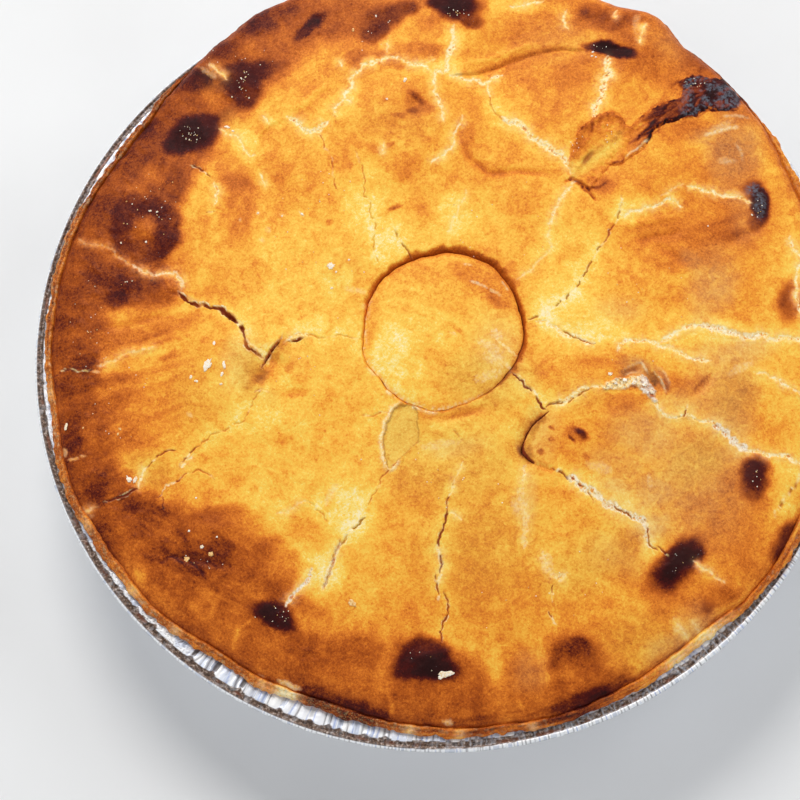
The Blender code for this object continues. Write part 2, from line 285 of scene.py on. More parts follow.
# ------------------------------------------------------------------ what the oven did: splits
# kind, width, points. p: torn and pale, d: open and dark, t: hairline, c: overlapping edge with a painted shadow on its
# low side, v: valley with painted shade along it, r: ridge with painted light along it
# extra: depth mm, halo (paler round it), low: (side, mm, reach) one side stands lower, shade: how far a c edge's
# painted shadow reaches
SPLITS = [
    ("p", 5.0, [(454, 25), (452, 42), (448, 56), (445, 73)], {}),
    ("p", 2.6, [(445, 73), (436, 71), (434, 82), (433, 92), (439, 99), (443, 110), (444, 122)], {}),
    ("p", 2.4, [(360, 64), (375, 62), (389, 57), (407, 62), (424, 65), (431, 70)], {}),
    ("p", 1.6, [(424, 65), (435, 59)], {"weak": 0.7}),
    ("p", 2.2, [(387, 54), (388, 46), (388, 38)], {"weak": 0.7}),
    ("p", 3.0, [(378, 61), (364, 65), (359, 71), (350, 78), (352, 87), (344, 94), (344, 99), (333, 108), (333, 115)], {}),
    ("t", 1.2, [(332, 112), (336, 122)], {}),
    ("p", 1.6, [(344, 99), (352, 102)], {}),
    ("p", 3.2, [(449, 75), (466, 79), (482, 83), (488, 82), (502, 75)], {}),
    ("p", 2.2, [(488, 83), (488, 87), (490, 97)], {}),
    ("t", 1.4, [(490, 97), (490, 101), (494, 111), (502, 119), (513, 126)], {}),
    ("p", 6.0, [(502, 116), (508, 121), (519, 124), (527, 130), (532, 138), (542, 144), (554, 152), (565, 159), (576, 176)], {"low": (1, 0.5, 14)}),
    ("p", 2.0, [(462, 115), (462, 122), (457, 128), (454, 140), (452, 147), (442, 156), (431, 164)], {"halo": 0.05}),
    ("v", 6.5, [(465, 153), (475, 163), (488, 173), (513, 171), (539, 173), (559, 175)], {"depth": 0.45, "tone": 0.15}),
    ("v", 6.0, [(449, 75), (471, 73), (488, 69), (507, 62), (526, 55), (545, 50), (560, 48), (573, 49), (590, 50)], {"depth": 0.35, "tone": 0.17, "low": (1, 0.9, 9)}),
    ("r", 5.0, [(455, 66), (488, 60), (507, 53), (526, 46), (545, 41)], {"depth": 0.35, "tone": -0.05}),
    ("p", 6.0, [(608, 56), (606, 68), (611, 75), (604, 79), (602, 89), (600, 99), (595, 110), (593, 118)], {"low": (1, 0.4, 10)}),
    ("p", 2.0, [(567, 10), (563, 18), (565, 25), (569, 31)], {}),
    ("p", 1.6, [(616, 10), (616, 19)], {"halo": 0.04}),
    ("p", 1.6, [(646, 23), (642, 33), (638, 45)], {"halo": 0.04}),
    ("p", 2.0, [(510, 6), (527, 4), (544, 0)], {}),
    ("p", 2.0, [(207, 64), (217, 70), (227, 80)], {"halo": 0.05}),
    ("p", 1.8, [(219, 129), (227, 134), (236, 135), (241, 142), (244, 150), (249, 156), (256, 155)], {}),
    ("r", 4.0, [(256, 155), (256, 138), (269, 124), (286, 117)], {"depth": 0.35, "tone": -0.08}),
    ("p", 1.8, [(262, 115), (269, 124)], {}),
    ("p", 4.6, [(286, 115), (295, 121), (302, 128), (310, 132), (320, 129), (328, 121)], {"low": (1, 0.4, 10)}),
    ("r", 5.0, [(288, 112), (308, 102), (315, 92), (333, 85)], {"depth": 0.3, "tone": -0.06}),
    ("p", 1.6, [(339, 61), (342, 66)], {}),
    ("t", 1.1, [(318, 130), (322, 138), (324, 148), (330, 153), (332, 163), (333, 171), (334, 181), (338, 190)], {"halo": 0.07}),
    ("t", 1.3, [(355, 150), (359, 162), (364, 175), (364, 196), (370, 200), (375, 221), (374, 245), (378, 262)], {"halo": 0.10}),
    ("d", 1.4, [(189, 166), (199, 168), (207, 174), (211, 177)], {"depth": 0.7}),
    ("p", 2.8, [(214, 182), (218, 190), (216, 199), (214, 205)], {}),
    ("t", 1.0, [(206, 212), (214, 211)], {}),
    ("p", 1.4, [(259, 173), (265, 186)], {"halo": 0.05}),
    ("p", 1.3, [(384, 143), (384, 155)], {"halo": 0.04}),
    ("d", 1.3, [(393, 225), (400, 239), (411, 261)], {"depth": 0.8, "halo": 0.08}),
    ("p", 2.2, [(466, 190), (459, 205), (452, 220), (448, 234)], {"halo": 0.09, "weak": 0.45}),
    # left: the long split and the tip of crust that stands over it
    ("p", 1.8, [(79, 238), (102, 245), (120, 258), (132, 264)], {"halo": 0.07, "weak": 0.28}),
    ("p", 3.4, [(132, 264), (138, 268), (156, 275), (170, 273), (176, 272), (182, 281), (181, 291)], {"halo": 0.05, "weak": 0.7, "grey": 0.6}),
    ("d", 4.2, [(179, 293), (185, 299), (191, 303), (204, 304), (217, 308), (230, 318), (238, 323)], {"depth": 2.2, "pale_side": -1}),
    ("d", 4.2, [(219, 309), (228, 316), (236, 322), (241, 325), (244, 334)], {"depth": 2.4, "pale_side": 1}),
    ("d", 2.2, [(241, 326), (244, 334), (245, 340)], {"depth": 1.6, "pale_side": 0}),
    ("c", 3.4, [(261, 366), (266, 357), (272, 348), (278, 341), (284, 332)], {"depth": 0.5, "low": (1, 1.2, 15), "shade": 9.0, "shadow_tone": 0.15, "ink": 0.20}),
    ("d", 1.7, [(262, 363), (266, 356), (272, 348), (276, 343)], {"depth": 0.5, "ink": 0.75, "weak": 0.2}),
    ("d", 2.6, [(285, 342), (293, 340), (300, 338), (306, 336)], {"depth": 1.0, "pale_side": -1, "low": (1, 0.8, 14)}),
    ("p", 4.0, [(286, 340), (294, 336), (303, 334), (312, 335)], {"halo": 0.03, "weak": 0.8}),
    ("t", 1.3, [(306, 334), (324, 338), (342, 335), (352, 338), (362, 340)], {"halo": 0.08}),
    ("v", 20.0, [(280, 352), (270, 364), (260, 376), (256, 386)], {"depth": 1.0, "tone": 0.09}),
    ("c", 1.6, [(254, 392), (258, 389), (264, 389), (268, 392)], {"depth": 0.2, "low": (-1, 0.3, 6), "shade": 2.0, "shadow_tone": 0.12, "ink": 0.15}),
    ("t", 1.2, [(262, 390), (256, 396), (252, 405), (248, 413), (245, 420)], {"halo": 0.09}),
    ("d", 1.1, [(52, 375), (61, 371), (71, 369), (83, 371), (92, 370)], {"depth": 0.6, "halo": 0.05}),
    ("p", 2.2, [(96, 366), (102, 365), (115, 361), (128, 352), (143, 349), (158, 347)], {"halo": 0.12, "weak": 0.5}),
    ("r", 5.0, [(128, 352), (143, 349), (158, 347)], {"depth": 0.3, "tone": -0.03}),
    ("v", 6.0, [(104, 330), (125, 327), (150, 318), (172, 315)], {"depth": 0.3, "tone": 0.03}),
    # disc to the right
    ("p", 3.2, [(576, 181), (563, 196), (553, 217), (550, 228)], {"halo": 0.10, "weak": 0.8}),
    ("p", 2.6, [(550, 228), (548, 235), (552, 245), (545, 255), (535, 265), (522, 275), (517, 280)], {"halo": 0.10, "weak": 0.5}),
    ("d", 1.5, [(621, 194), (622, 204), (618, 217), (609, 230), (604, 242)], {"depth": 0.4, "halo": 0.12}),
    ("d", 1.5, [(604, 242), (594, 258), (584, 275), (573, 291), (558, 304), (543, 316), (528, 319)], {"depth": 0.4, "halo": 0.10}),
    ("p", 2.6, [(622, 217), (642, 209), (653, 207), (661, 203), (668, 198), (676, 201), (683, 207)], {"halo": 0.12, "low": (1, 0.2, 12)}),
    ("p", 2.8, [(687, 186), (692, 187), (704, 191), (720, 195), (735, 196), (746, 201), (752, 203)], {"halo": 0.05}),
    ("p", 1.8, [(660, 196), (672, 189), (684, 184)], {"halo": 0.05, "weak": 0.4}),
    ("v", 8.0, [(630, 240), (655, 236), (672, 234), (684, 229)], {"depth": 0.5, "tone": 0.10}),
    ("r", 6.0, [(617, 228), (640, 222), (660, 219), (684, 214)], {"depth": 0.3, "tone": -0.02}),
    ("v", 8.0, [(652, 243), (666, 250), (678, 258), (688, 265)], {"depth": 0.45, "tone": 0.08}),
    ("v", 7.0, [(722, 250), (735, 240), (752, 232), (768, 226)], {"depth": 0.4, "tone": 0.05}),
    ("p", 4.0, [(536, 321), (543, 321), (558, 329), (579, 337), (596, 343)], {"halo": 0.10}),
    ("d", 1.2, [(558, 330), (568, 333), (579, 338), (596, 343)], {"depth": 0.8, "halo": 0.02}),
    ("p", 3.4, [(617, 351), (619, 344), (630, 340), (642, 341), (655, 343), (670, 346), (680, 352), (688, 357), (700, 359), (711, 360)], {"halo": 0.08}),
    ("p", 5.0, [(660, 342), (668, 337), (681, 330), (694, 326), (706, 325), (719, 328), (732, 332), (747, 336), (762, 334), (790, 338), (822, 330)], {"halo": 0.06}),
    # the lifted slab of crust and the collar of crust round the disc
    ("d", 2.2, [(511, 371), (517, 377), (523, 381), (525, 387), (534, 393), (539, 402), (546, 409)], {"depth": 1.6, "pale_side": -1}),
    ("d", 1.6, [(546, 407), (555, 403), (561, 401)], {"depth": 1.6, "pale_side": -1}),
    ("p", 6.0, [(553, 403), (561, 402), (567, 400), (573, 396), (579, 392), (584, 389), (590, 388)], {"halo": 0.05, "low": (1, 0.4, 8)}),
    ("d", 1.3, [(553, 405), (561, 403), (569, 402), (577, 396), (584, 391), (592, 388)], {"depth": 0.6}),
    ("p", 3.0, [(588, 388), (597, 386), (606, 385)], {"halo": 0.05, "weak": 0.8}),
    ("c", 1.6, [(655, 399), (655, 404), (659, 410), (664, 415), (670, 418), (676, 418), (681, 416), (685, 415), (692, 417), (699, 421), (706, 424)], {"depth": 0.05, "low": (1, 0.2, 9), "shade": 3.0, "shadow_tone": 0.05, "ink": 0.0}),
    ("p", 3.0, [(655, 398), (655, 403), (659, 409), (664, 414), (670, 417), (676, 417), (681, 415), (685, 414), (692, 416), (699, 420)], {"halo": 0.04, "weak": 1.0}),
    ("d", 1.6, [(688, 404), (686, 410), (684, 416)], {"depth": 0.7}),
    ("v", 4.2, [(713, 374), (709, 382), (702, 389), (693, 395)], {"depth": 0.5, "tone": 0.07}),
    ("c", 3.0, [(549, 411), (543, 416), (537, 421), (531, 428), (526, 437), (523, 446), (523, 451), (527, 456), (534, 462), (539, 466)], {"depth": 0.5, "low": (1, 2.0, 11), "shade": 5.4, "shadow_tone": 0.40, "weak": 0.1}),
    ("d", 1.7, [(553, 468), (560, 471), (567, 477), (573, 483)], {"depth": 1.0, "pale_side": -1, "low": (1, 0.5, 14), "ink": 0.6}),
    ("p", 8.0, [(566, 476), (573, 478), (580, 485), (589, 490), (600, 498), (612, 505), (622, 511), (634, 517), (645, 524)], {"low": (1, 0.4, 14), "grey": 0.6, "halo": 0.04}),
    ("d", 1.3, [(571, 476), (580, 485), (589, 493), (594, 500)], {"depth": 1.0}),
    ("d", 1.2, [(612, 504), (622, 510), (632, 519)], {"depth": 0.9}),
    ("p", 5.2, [(643, 519), (647, 530), (648, 541), (652, 548)], {"halo": 0.05, "weak": 0.85, "grey": 0.7}),
    ("d", 2.0, [(644, 519), (648, 530), (649, 541), (653, 548), (658, 550)], {"depth": 0.8, "ink": 0.55}),
    ("d", 1.6, [(657, 546), (663, 551), (669, 557)], {"depth": 0.7}),
        ("p", 3.6, [(699, 421), (706, 421), (711, 421), (719, 427), (727, 434), (734, 441), (741, 447), (748, 451), (762, 453), (785, 455), (812, 463)], {"halo": 0.06}),
    # front
    ("p", 2.2, [(463, 462), (457, 475), (453, 484), (450, 495)], {"halo": 0.08, "weak": 0.5}),
    ("d", 1.2, [(453, 484), (449, 497), (447, 510)], {"depth": 0.8}),
    ("d", 2.2, [(447, 510), (444, 524), (440, 537), (438, 543), (440, 553), (442, 564), (440, 573)], {"depth": 1.7}),
    ("d", 1.8, [(436, 574), (437, 584), (439, 594), (438, 601)], {"depth": 1.4}),
    ("d", 1.8, [(444, 591), (448, 602), (448, 611), (443, 621), (440, 632), (442, 642)], {"depth": 1.3}),
    ("p", 4.0, [(438, 543), (440, 556), (441, 570), (438, 584)], {"halo": 0.10, "weak": 0.8}),
    ("p", 2.0, [(447, 512), (455, 514), (462, 520)], {"halo": 0.05, "weak": 0.6}),
    ("p", 3.2, [(526, 464), (525, 474), (523, 486)], {"halo": 0.05, "weak": 0.8}),
    ("p", 6.0, [(523, 486), (520, 496), (524, 507), (526, 520), (525, 532), (524, 548)], {"halo": 0.06, "weak": 0.4}),
    ("p", 6.0, [(543, 551), (546, 565), (553, 575), (560, 579), (568, 573)], {"halo": 0.05, "weak": 0.5}),
    ("d", 1.3, [(553, 585), (553, 594), (552, 602)], {"depth": 0.7}),
    ("d", 1.2, [(548, 611), (552, 618), (557, 625)], {"depth": 0.6}),
    ("t", 1.3, [(397, 462), (388, 471), (380, 484), (377, 490), (370, 502), (366, 510)], {"halo": 0.10}),
    ("d", 2.4, [(366, 518), (358, 525), (350, 530), (346, 539), (341, 545)], {"depth": 1.0, "halo": 0.10, "ink": 0.6}),
    ("d", 2.6, [(340, 539), (336, 550), (333, 562), (330, 573), (326, 583), (323, 590)], {"depth": 0.6, "halo": 0.08, "ink": 0.28}),
    ("p", 5.2, [(341, 541), (336, 550), (333, 562), (330, 573), (326, 583), (323, 590)], {"halo": 0.02, "weak": 0.8, "grey": 0.4}),
    ("p", 5.0, [(312, 567), (310, 577), (303, 585), (296, 592), (290, 600), (286, 606)], {"halo": 0.06, "grey": 1}),
    ("d", 2.0, [(138, 489), (129, 493), (120, 497), (111, 500), (104, 503)], {"depth": 1.1, "pale_side": 1}),
    ("p", 2.4, [(96, 507), (88, 510), (80, 513), (74, 517)], {"halo": 0.02, "weak": 0.45}),
    ("p", 3.0, [(138, 489), (139, 482), (143, 473), (148, 466)], {"halo": 0.10}),
    ("d", 1.2, [(147, 468), (152, 462), (160, 455), (167, 451), (176, 450)], {"depth": 0.7, "halo": 0.10}),
    ("t", 1.2, [(245, 420), (236, 423), (230, 427), (219, 432), (207, 440), (199, 446)], {"halo": 0.07}),
    ("d", 1.2, [(199, 446), (192, 451), (184, 459), (179, 469)], {"depth": 0.7, "halo": 0.08}),
    ("p", 2.2, [(194, 454), (186, 460), (180, 468)], {"halo": 0.08}),
    ("t", 1.1, [(215, 480), (209, 475), (203, 472), (196, 470), (188, 473), (181, 478)], {"halo": 0.05}),
    ("d", 1.4, [(181, 478), (171, 483), (163, 490), (158, 497)], {"depth": 0.8, "halo": 0.06}),
    ("t", 1.0, [(163, 497), (163, 503), (164, 509)], {"halo": 0.02}),
    ("t", 1.1, [(309, 502), (316, 510), (323, 514), (328, 522)], {"halo": 0.08}),
    ("p", 2.0, [(276, 514), (288, 513), (298, 503), (309, 502)], {"halo": 0.07, "weak": 0.5}),
    ("p", 5.0, [(326, 506), (330, 496), (336, 484)], {"halo": 0.10, "weak": 0.35}),
    ("p", 2.4, [(693, 561), (699, 566), (707, 570), (716, 578), (726, 582)], {"halo": 0.06, "weak": 0.8}),
    ("p", 1.8, [(673, 617), (679, 626), (684, 634), (690, 640)], {"halo": 0.08, "weak": 0.7}),
    ("p", 1.6, [(691, 621), (698, 629), (703, 636)], {"halo": 0.05, "weak": 0.6}),
    ("t", 1.2, [(361, 415), (372, 416), (382, 412), (389, 412)], {"halo": 0.05}),
    ("t", 1.0, [(453, 430), (459, 436), (464, 441)], {"halo": 0.06}),
    ("v", 8.0, [(420, 416), (445, 419), (470, 413), (492, 402)], {"depth": 0.35, "tone": 0.08}),
    # beyond the view's edge, of the same kind as what shows
    ("p", 3.0, [(790, 236), (802, 262), (797, 290), (806, 316)], {"halo": 0.08}),
    ("d", 1.4, [(772, 520), (784, 500), (796, 484), (812, 463)], {"depth": 0.9, "halo": 0.08}),
    ("p", 2.4, [(754, 372), (780, 380), (806, 396), (828, 402)], {"halo": 0.07}),
    ("p", 7.0, [(713, 424), (719, 427), (727, 434), (734, 441), (741, 447), (748, 451)], {"halo": 0.04, "grey": 0.9}),
    ("p", 3.2, [(516, 374), (521, 379), (525, 386), (533, 390), (538, 396)], {"halo": 0.02, "weak": 0.6}),
    ("v", 7.0, [(461, 120), (459, 134), (464, 150), (474, 162), (486, 170)], {"depth": 0.35, "tone": 0.13}),
    ("p", 6.4, [(700, 326), (708, 326), (719, 329), (732, 333), (747, 337), (762, 335)], {"halo": 0.03, "weak": 0.8, "grey": 0.5}),
    ("d", 3.4, [(245, 339), (246, 344), (249, 349), (256, 353), (263, 357)], {"depth": 0.9, "pale_side": 0, "ink": 0.42}),
    ("v", 5.0, [(537, 464), (546, 468), (554, 470)], {"depth": 0.5, "tone": 0.10}),
]

# a scab where the top layer flaked off and the one under it shows
FLAKED = np.array([(407, 404), (414, 406), (418, 413), (417, 424), (419, 432), (418, 441), (409, 450), (400, 458),
                   (389, 468), (385, 456), (384, 447), (383, 437), (386, 430), (387, 422), (391, 417), (394, 409), (400, 405)], float)
# crumbly flap on the right, with the grey hollow behind it
FLAP = np.array([(603, 387), (606, 383), (612, 381), (616, 378), (622, 379), (628, 378), (633, 375), (639, 376), (643, 374), (648, 379),
                 (651, 386), (656, 391), (655, 397), (658, 402), (652, 402), (648, 396), (643, 393), (640, 388), (632, 386), (624, 389), (614, 389), (606, 389)], float)
# filling that boiled out and baked onto the crust, top right
JUICE = np.array([(570, 177), (568, 163), (570, 150), (578, 134), (589, 121), (600, 114), (613, 112), (624, 121), (629, 128),
                  (642, 117), (657, 105), (674, 100), (681, 97), (682, 89), (677, 82), (692, 75), (713, 78), (725, 76),
                  (742, 96), (736, 109), (725, 110), (708, 108), (695, 116), (680, 119), (664, 122), (655, 129), (648, 142),
                  (632, 156), (622, 164), (610, 165), (600, 176), (592, 188), (581, 187)], float)

# ------------------------------------------------------------------ what the oven did: browning
# inside this line the crust is golden, outside it is brown up to the rim
GOLDEN = np.array([(300, 58), (268, 92), (238, 118), (218, 128), (206, 160), (190, 186), (180, 212), (181, 232), (168, 256),
                   (180, 276), (178, 300), (152, 310), (110, 312), (104, 340), (98, 366), (99, 396), (106, 420), (112, 446),
                   (124, 470), (140, 488), (166, 498), (200, 514), (240, 512), (264, 532), (296, 556), (302, 596), (320, 618),
                   (350, 634), (398, 640), (440, 648), (472, 660), (500, 680), (530, 690), (560, 674), (600, 662), (640, 668),
                   (690, 640), (732, 606), (776, 560), (808, 500), (826, 420), (832, 330), (818, 240), (790, 180), (760, 130),
                   (700, 98), (652, 66), (610, 28), (560, 4), (500, -8), (430, 4), (372, 26), (336, 40)], float)
MARGIN_TONE = by_direction([(20, 0.74), (50, 0.73), (75, 0.68), (95, 0.73), (112, 0.84), (132, 0.86), (150, 0.90), (165, 0.92), (180, 0.89),
                            (200, 0.87), (215, 0.84), (240, 0.82), (264, 0.82), (280, 0.76), (296, 0.77), (308, 0.74), (325, 0.71)])
# centre, half sizes, turn in degrees, tone, how soft its edge is. Tone: 0 cream, 0.4 golden,
# 0.65 orange, 0.85 brown, 1 dark, 1.1 burnt.
BROWNING = [
    # golden and pale fields
    (480, 70, 260, 62, 0, 0.53, 0.6), (700, 215, 90, 62, -8, 0.62, 0.5), (640, 170, 60, 36, -15, 0.56, 0.5),
    (655, 285, 55, 26, -10, 0.50, 0.6), (735, 290, 26, 60, 0, 0.56, 0.6), (650, 405, 100, 50, 12, 0.55, 0.5),
    (700, 480, 60, 70, 0, 0.55, 0.5), (735, 540, 40, 60, 0, 0.68, 0.5), (600, 440, 60, 36, 0, 0.55, 0.6),
    (440, 520, 70, 90, 0, 0.52, 0.5), (500, 600, 120, 40, 0, 0.56, 0.6), (380, 610, 80, 30, 0, 0.60, 0.6),
    (620, 610, 70, 50, -20, 0.58, 0.6), (150, 350, 46, 42, 0, 0.58, 0.5), (150, 410, 46, 42, 0, 0.60, 0.5),
    (230, 150, 34, 80, 15, 0.52, 0.6), (215, 250, 30, 60, 0, 0.50, 0.6), (330, 60, 46, 26, -20, 0.56, 0.6),
    (470, 165, 110, 34, 0, 0.50, 0.6), (325, 165, 30, 34, 0, 0.50, 0.6), (170, 470, 44, 22, 20, 0.56, 0.6),
    (302, 300, 50, 66, 0, 0.36, 0.7), (380, 215, 30, 56, -15, 0.24, 0.5), (566, 275, 32, 60, 15, 0.30, 0.5),
    (562, 305, 26, 26, 0, 0.22, 0.6), (590, 328, 44, 12, 10, 0.26, 0.5), (250, 330, 18, 18, 0, 0.30, 0.6),
    (322, 324, 26, 10, -5, 0.24, 0.5), (240, 400, 46, 30, -15, 0.36, 0.6), (300, 480, 60, 26, -20, 0.38, 0.6),
    (346, 512, 26, 26, -40, 0.26, 0.5), (326, 572, 20, 24, 20, 0.24, 0.5), (460, 212, 26, 22, -30, 0.30, 0.6),
    (512, 110, 22, 22, 30, 0.32, 0.6), (300, 118, 34, 16, -15, 0.34, 0.6), (250, 142, 16, 16, 0, 0.30, 0.6),
    (628, 208, 20, 10, -20, 0.33, 0.6), (452, 52, 12, 28, 5, 0.34, 0.6), (380, 414, 16, 44, 10, 0.34, 0.6),
    (450, 425, 60, 22, 0, 0.39, 0.6), (520, 400, 34, 30, 0, 0.42, 0.6), (604, 496, 40, 18, 32, 0.34, 0.6),
    (650, 455, 36, 26, 0, 0.50, 0.6), (720, 330, 44, 10, 0, 0.34, 0.5), (555, 500, 40, 30, 0, 0.44, 0.6),
    (585, 590, 34, 22, 0, 0.47, 0.6), (230, 455, 40, 18, -25, 0.42, 0.6), (180, 300, 16, 8, 10, 0.38, 0.5),
    (152, 356, 40, 7, -18, 0.46, 0.5), (660, 600, 26, 18, 0, 0.50, 0.6), (700, 640, 26, 12, -30, 0.56, 0.6),
    (275, 150, 14, 12, 0, 0.40, 0.6), (360, 130, 34, 26, 0, 0.42, 0.6), (540, 120, 30, 40, 0, 0.46, 0.6),
    (200, 398, 26, 24, 0, 0.47, 0.7), (400, 122, 42, 15, 5, 0.57, 0.6), (600, 66, 46, 14, -4, 0.66, 0.6), (520, 30, 46, 16, -8, 0.60, 0.6),
    (250, 600, 26, 14, 20, 0.72, 0.6), (640, 600, 30, 16, -20, 0.48, 0.7), (700, 622, 22, 12, -30, 0.66, 0.6), (400, 560, 26, 20, 0, 0.47, 0.7),
    # orange blushes
    (540, 26, 44, 14, -8, 0.60, 0.5), (455, 84, 60, 10, -10, 0.56, 0.6), (600, 72, 42, 14, -5, 0.64, 0.5),
    (650, 60, 44, 18, 35, 0.68, 0.5), (704, 80, 30, 18, 40, 0.74, 0.5), (410, 104, 24, 16, 10, 0.60, 0.5),
    (417, 103, 13, 9, 10, 0.76, 0.5), (336, 66, 15, 20, 0, 0.60, 0.5), (350, 26, 12, 10, 0, 0.68, 0.5),
    (304, 108, 14, 9, 0, 0.52, 0.6), (237, 179, 17, 13, 0, 0.70, 0.6), (240, 217, 13, 26, 0, 0.64, 0.6),
    (276, 168, 12, 18, 0, 0.58, 0.6), (200, 216, 8, 16, 0, 0.60, 0.6), (186, 254, 8, 18, 10, 0.62, 0.6),
    (262, 130, 9, 7, 0, 0.58, 0.6), (466, 150, 7, 14, 0, 0.58, 0.6), (522, 208, 22, 10, -15, 0.56, 0.6),
    (402, 172, 7, 10, 0, 0.56, 0.6), (602, 186, 14, 9, 0, 0.70, 0.5), (588, 134, 12, 12, 0, 0.68, 0.6),
    (726, 240, 34, 22, -10, 0.74, 0.6), (658, 224, 44, 10, -12, 0.66, 0.5), (735, 165, 22, 40, 0, 0.69, 0.6),
    (656, 250, 34, 12, 10, 0.62, 0.6), (700, 190, 50, 22, 0, 0.66, 0.6), (610, 364, 40, 7, 4, 0.62, 0.5),
    (640, 369, 16, 6, 10, 0.54, 0.5), (668, 382, 26, 10, 15, 0.66, 0.5), (700, 384, 13, 6, -30, 0.62, 0.5),
    (622, 404, 22, 11, 0, 0.66, 0.6), (735, 398, 20, 22, 0, 0.60, 0.6), (590, 440, 30, 22, 0, 0.58, 0.6),
    (452, 410, 40, 6, -5, 0.58, 0.5), (420, 500, 12, 14, 0, 0.58, 0.6), (478, 545, 18, 34, 5, 0.60, 0.6),
    (500, 515, 40, 40, 0, 0.50, 0.7), (290, 530, 20, 13, -15, 0.58, 0.6), (288, 437, 14, 8, 0, 0.56, 0.6),
    (470, 600, 50, 18, 0, 0.60, 0.6), (420, 590, 16, 22, 0, 0.56, 0.6), (632, 546, 14, 18, 20, 0.58, 0.6),
    (150, 325, 40, 11, -8, 0.67, 0.5), (130, 336, 18, 7, -5, 0.71, 0.5), (126, 388, 22, 16, -20, 0.72, 0.5),
    (166, 374, 30, 9, -20, 0.61, 0.6), (122, 425, 22, 30, 0, 0.70, 0.5), (158, 408, 34, 13, -15, 0.62, 0.6),
    (190, 496, 34, 10, 15, 0.58, 0.6), (172, 480, 10, 10, 0, 0.62, 0.6), (196, 378, 16, 9, -30, 0.54, 0.6),
    (302, 380, 8, 6, 0, 0.60, 0.6), (293, 393, 12, 5, -10, 0.62, 0.5), (216, 330, 22, 12, 0, 0.50, 0.6),
    (715, 596, 30, 14, -35, 0.74, 0.5), (745, 510, 24, 40, 0, 0.70, 0.5), (565, 612, 26, 14, 0, 0.56, 0.6),
    (240, 480, 10, 7, 0, 0.52, 0.6), (345, 352, 26, 12, -10, 0.46, 0.6), (410, 300, 14, 12, 0, 0.42, 0.6),
]
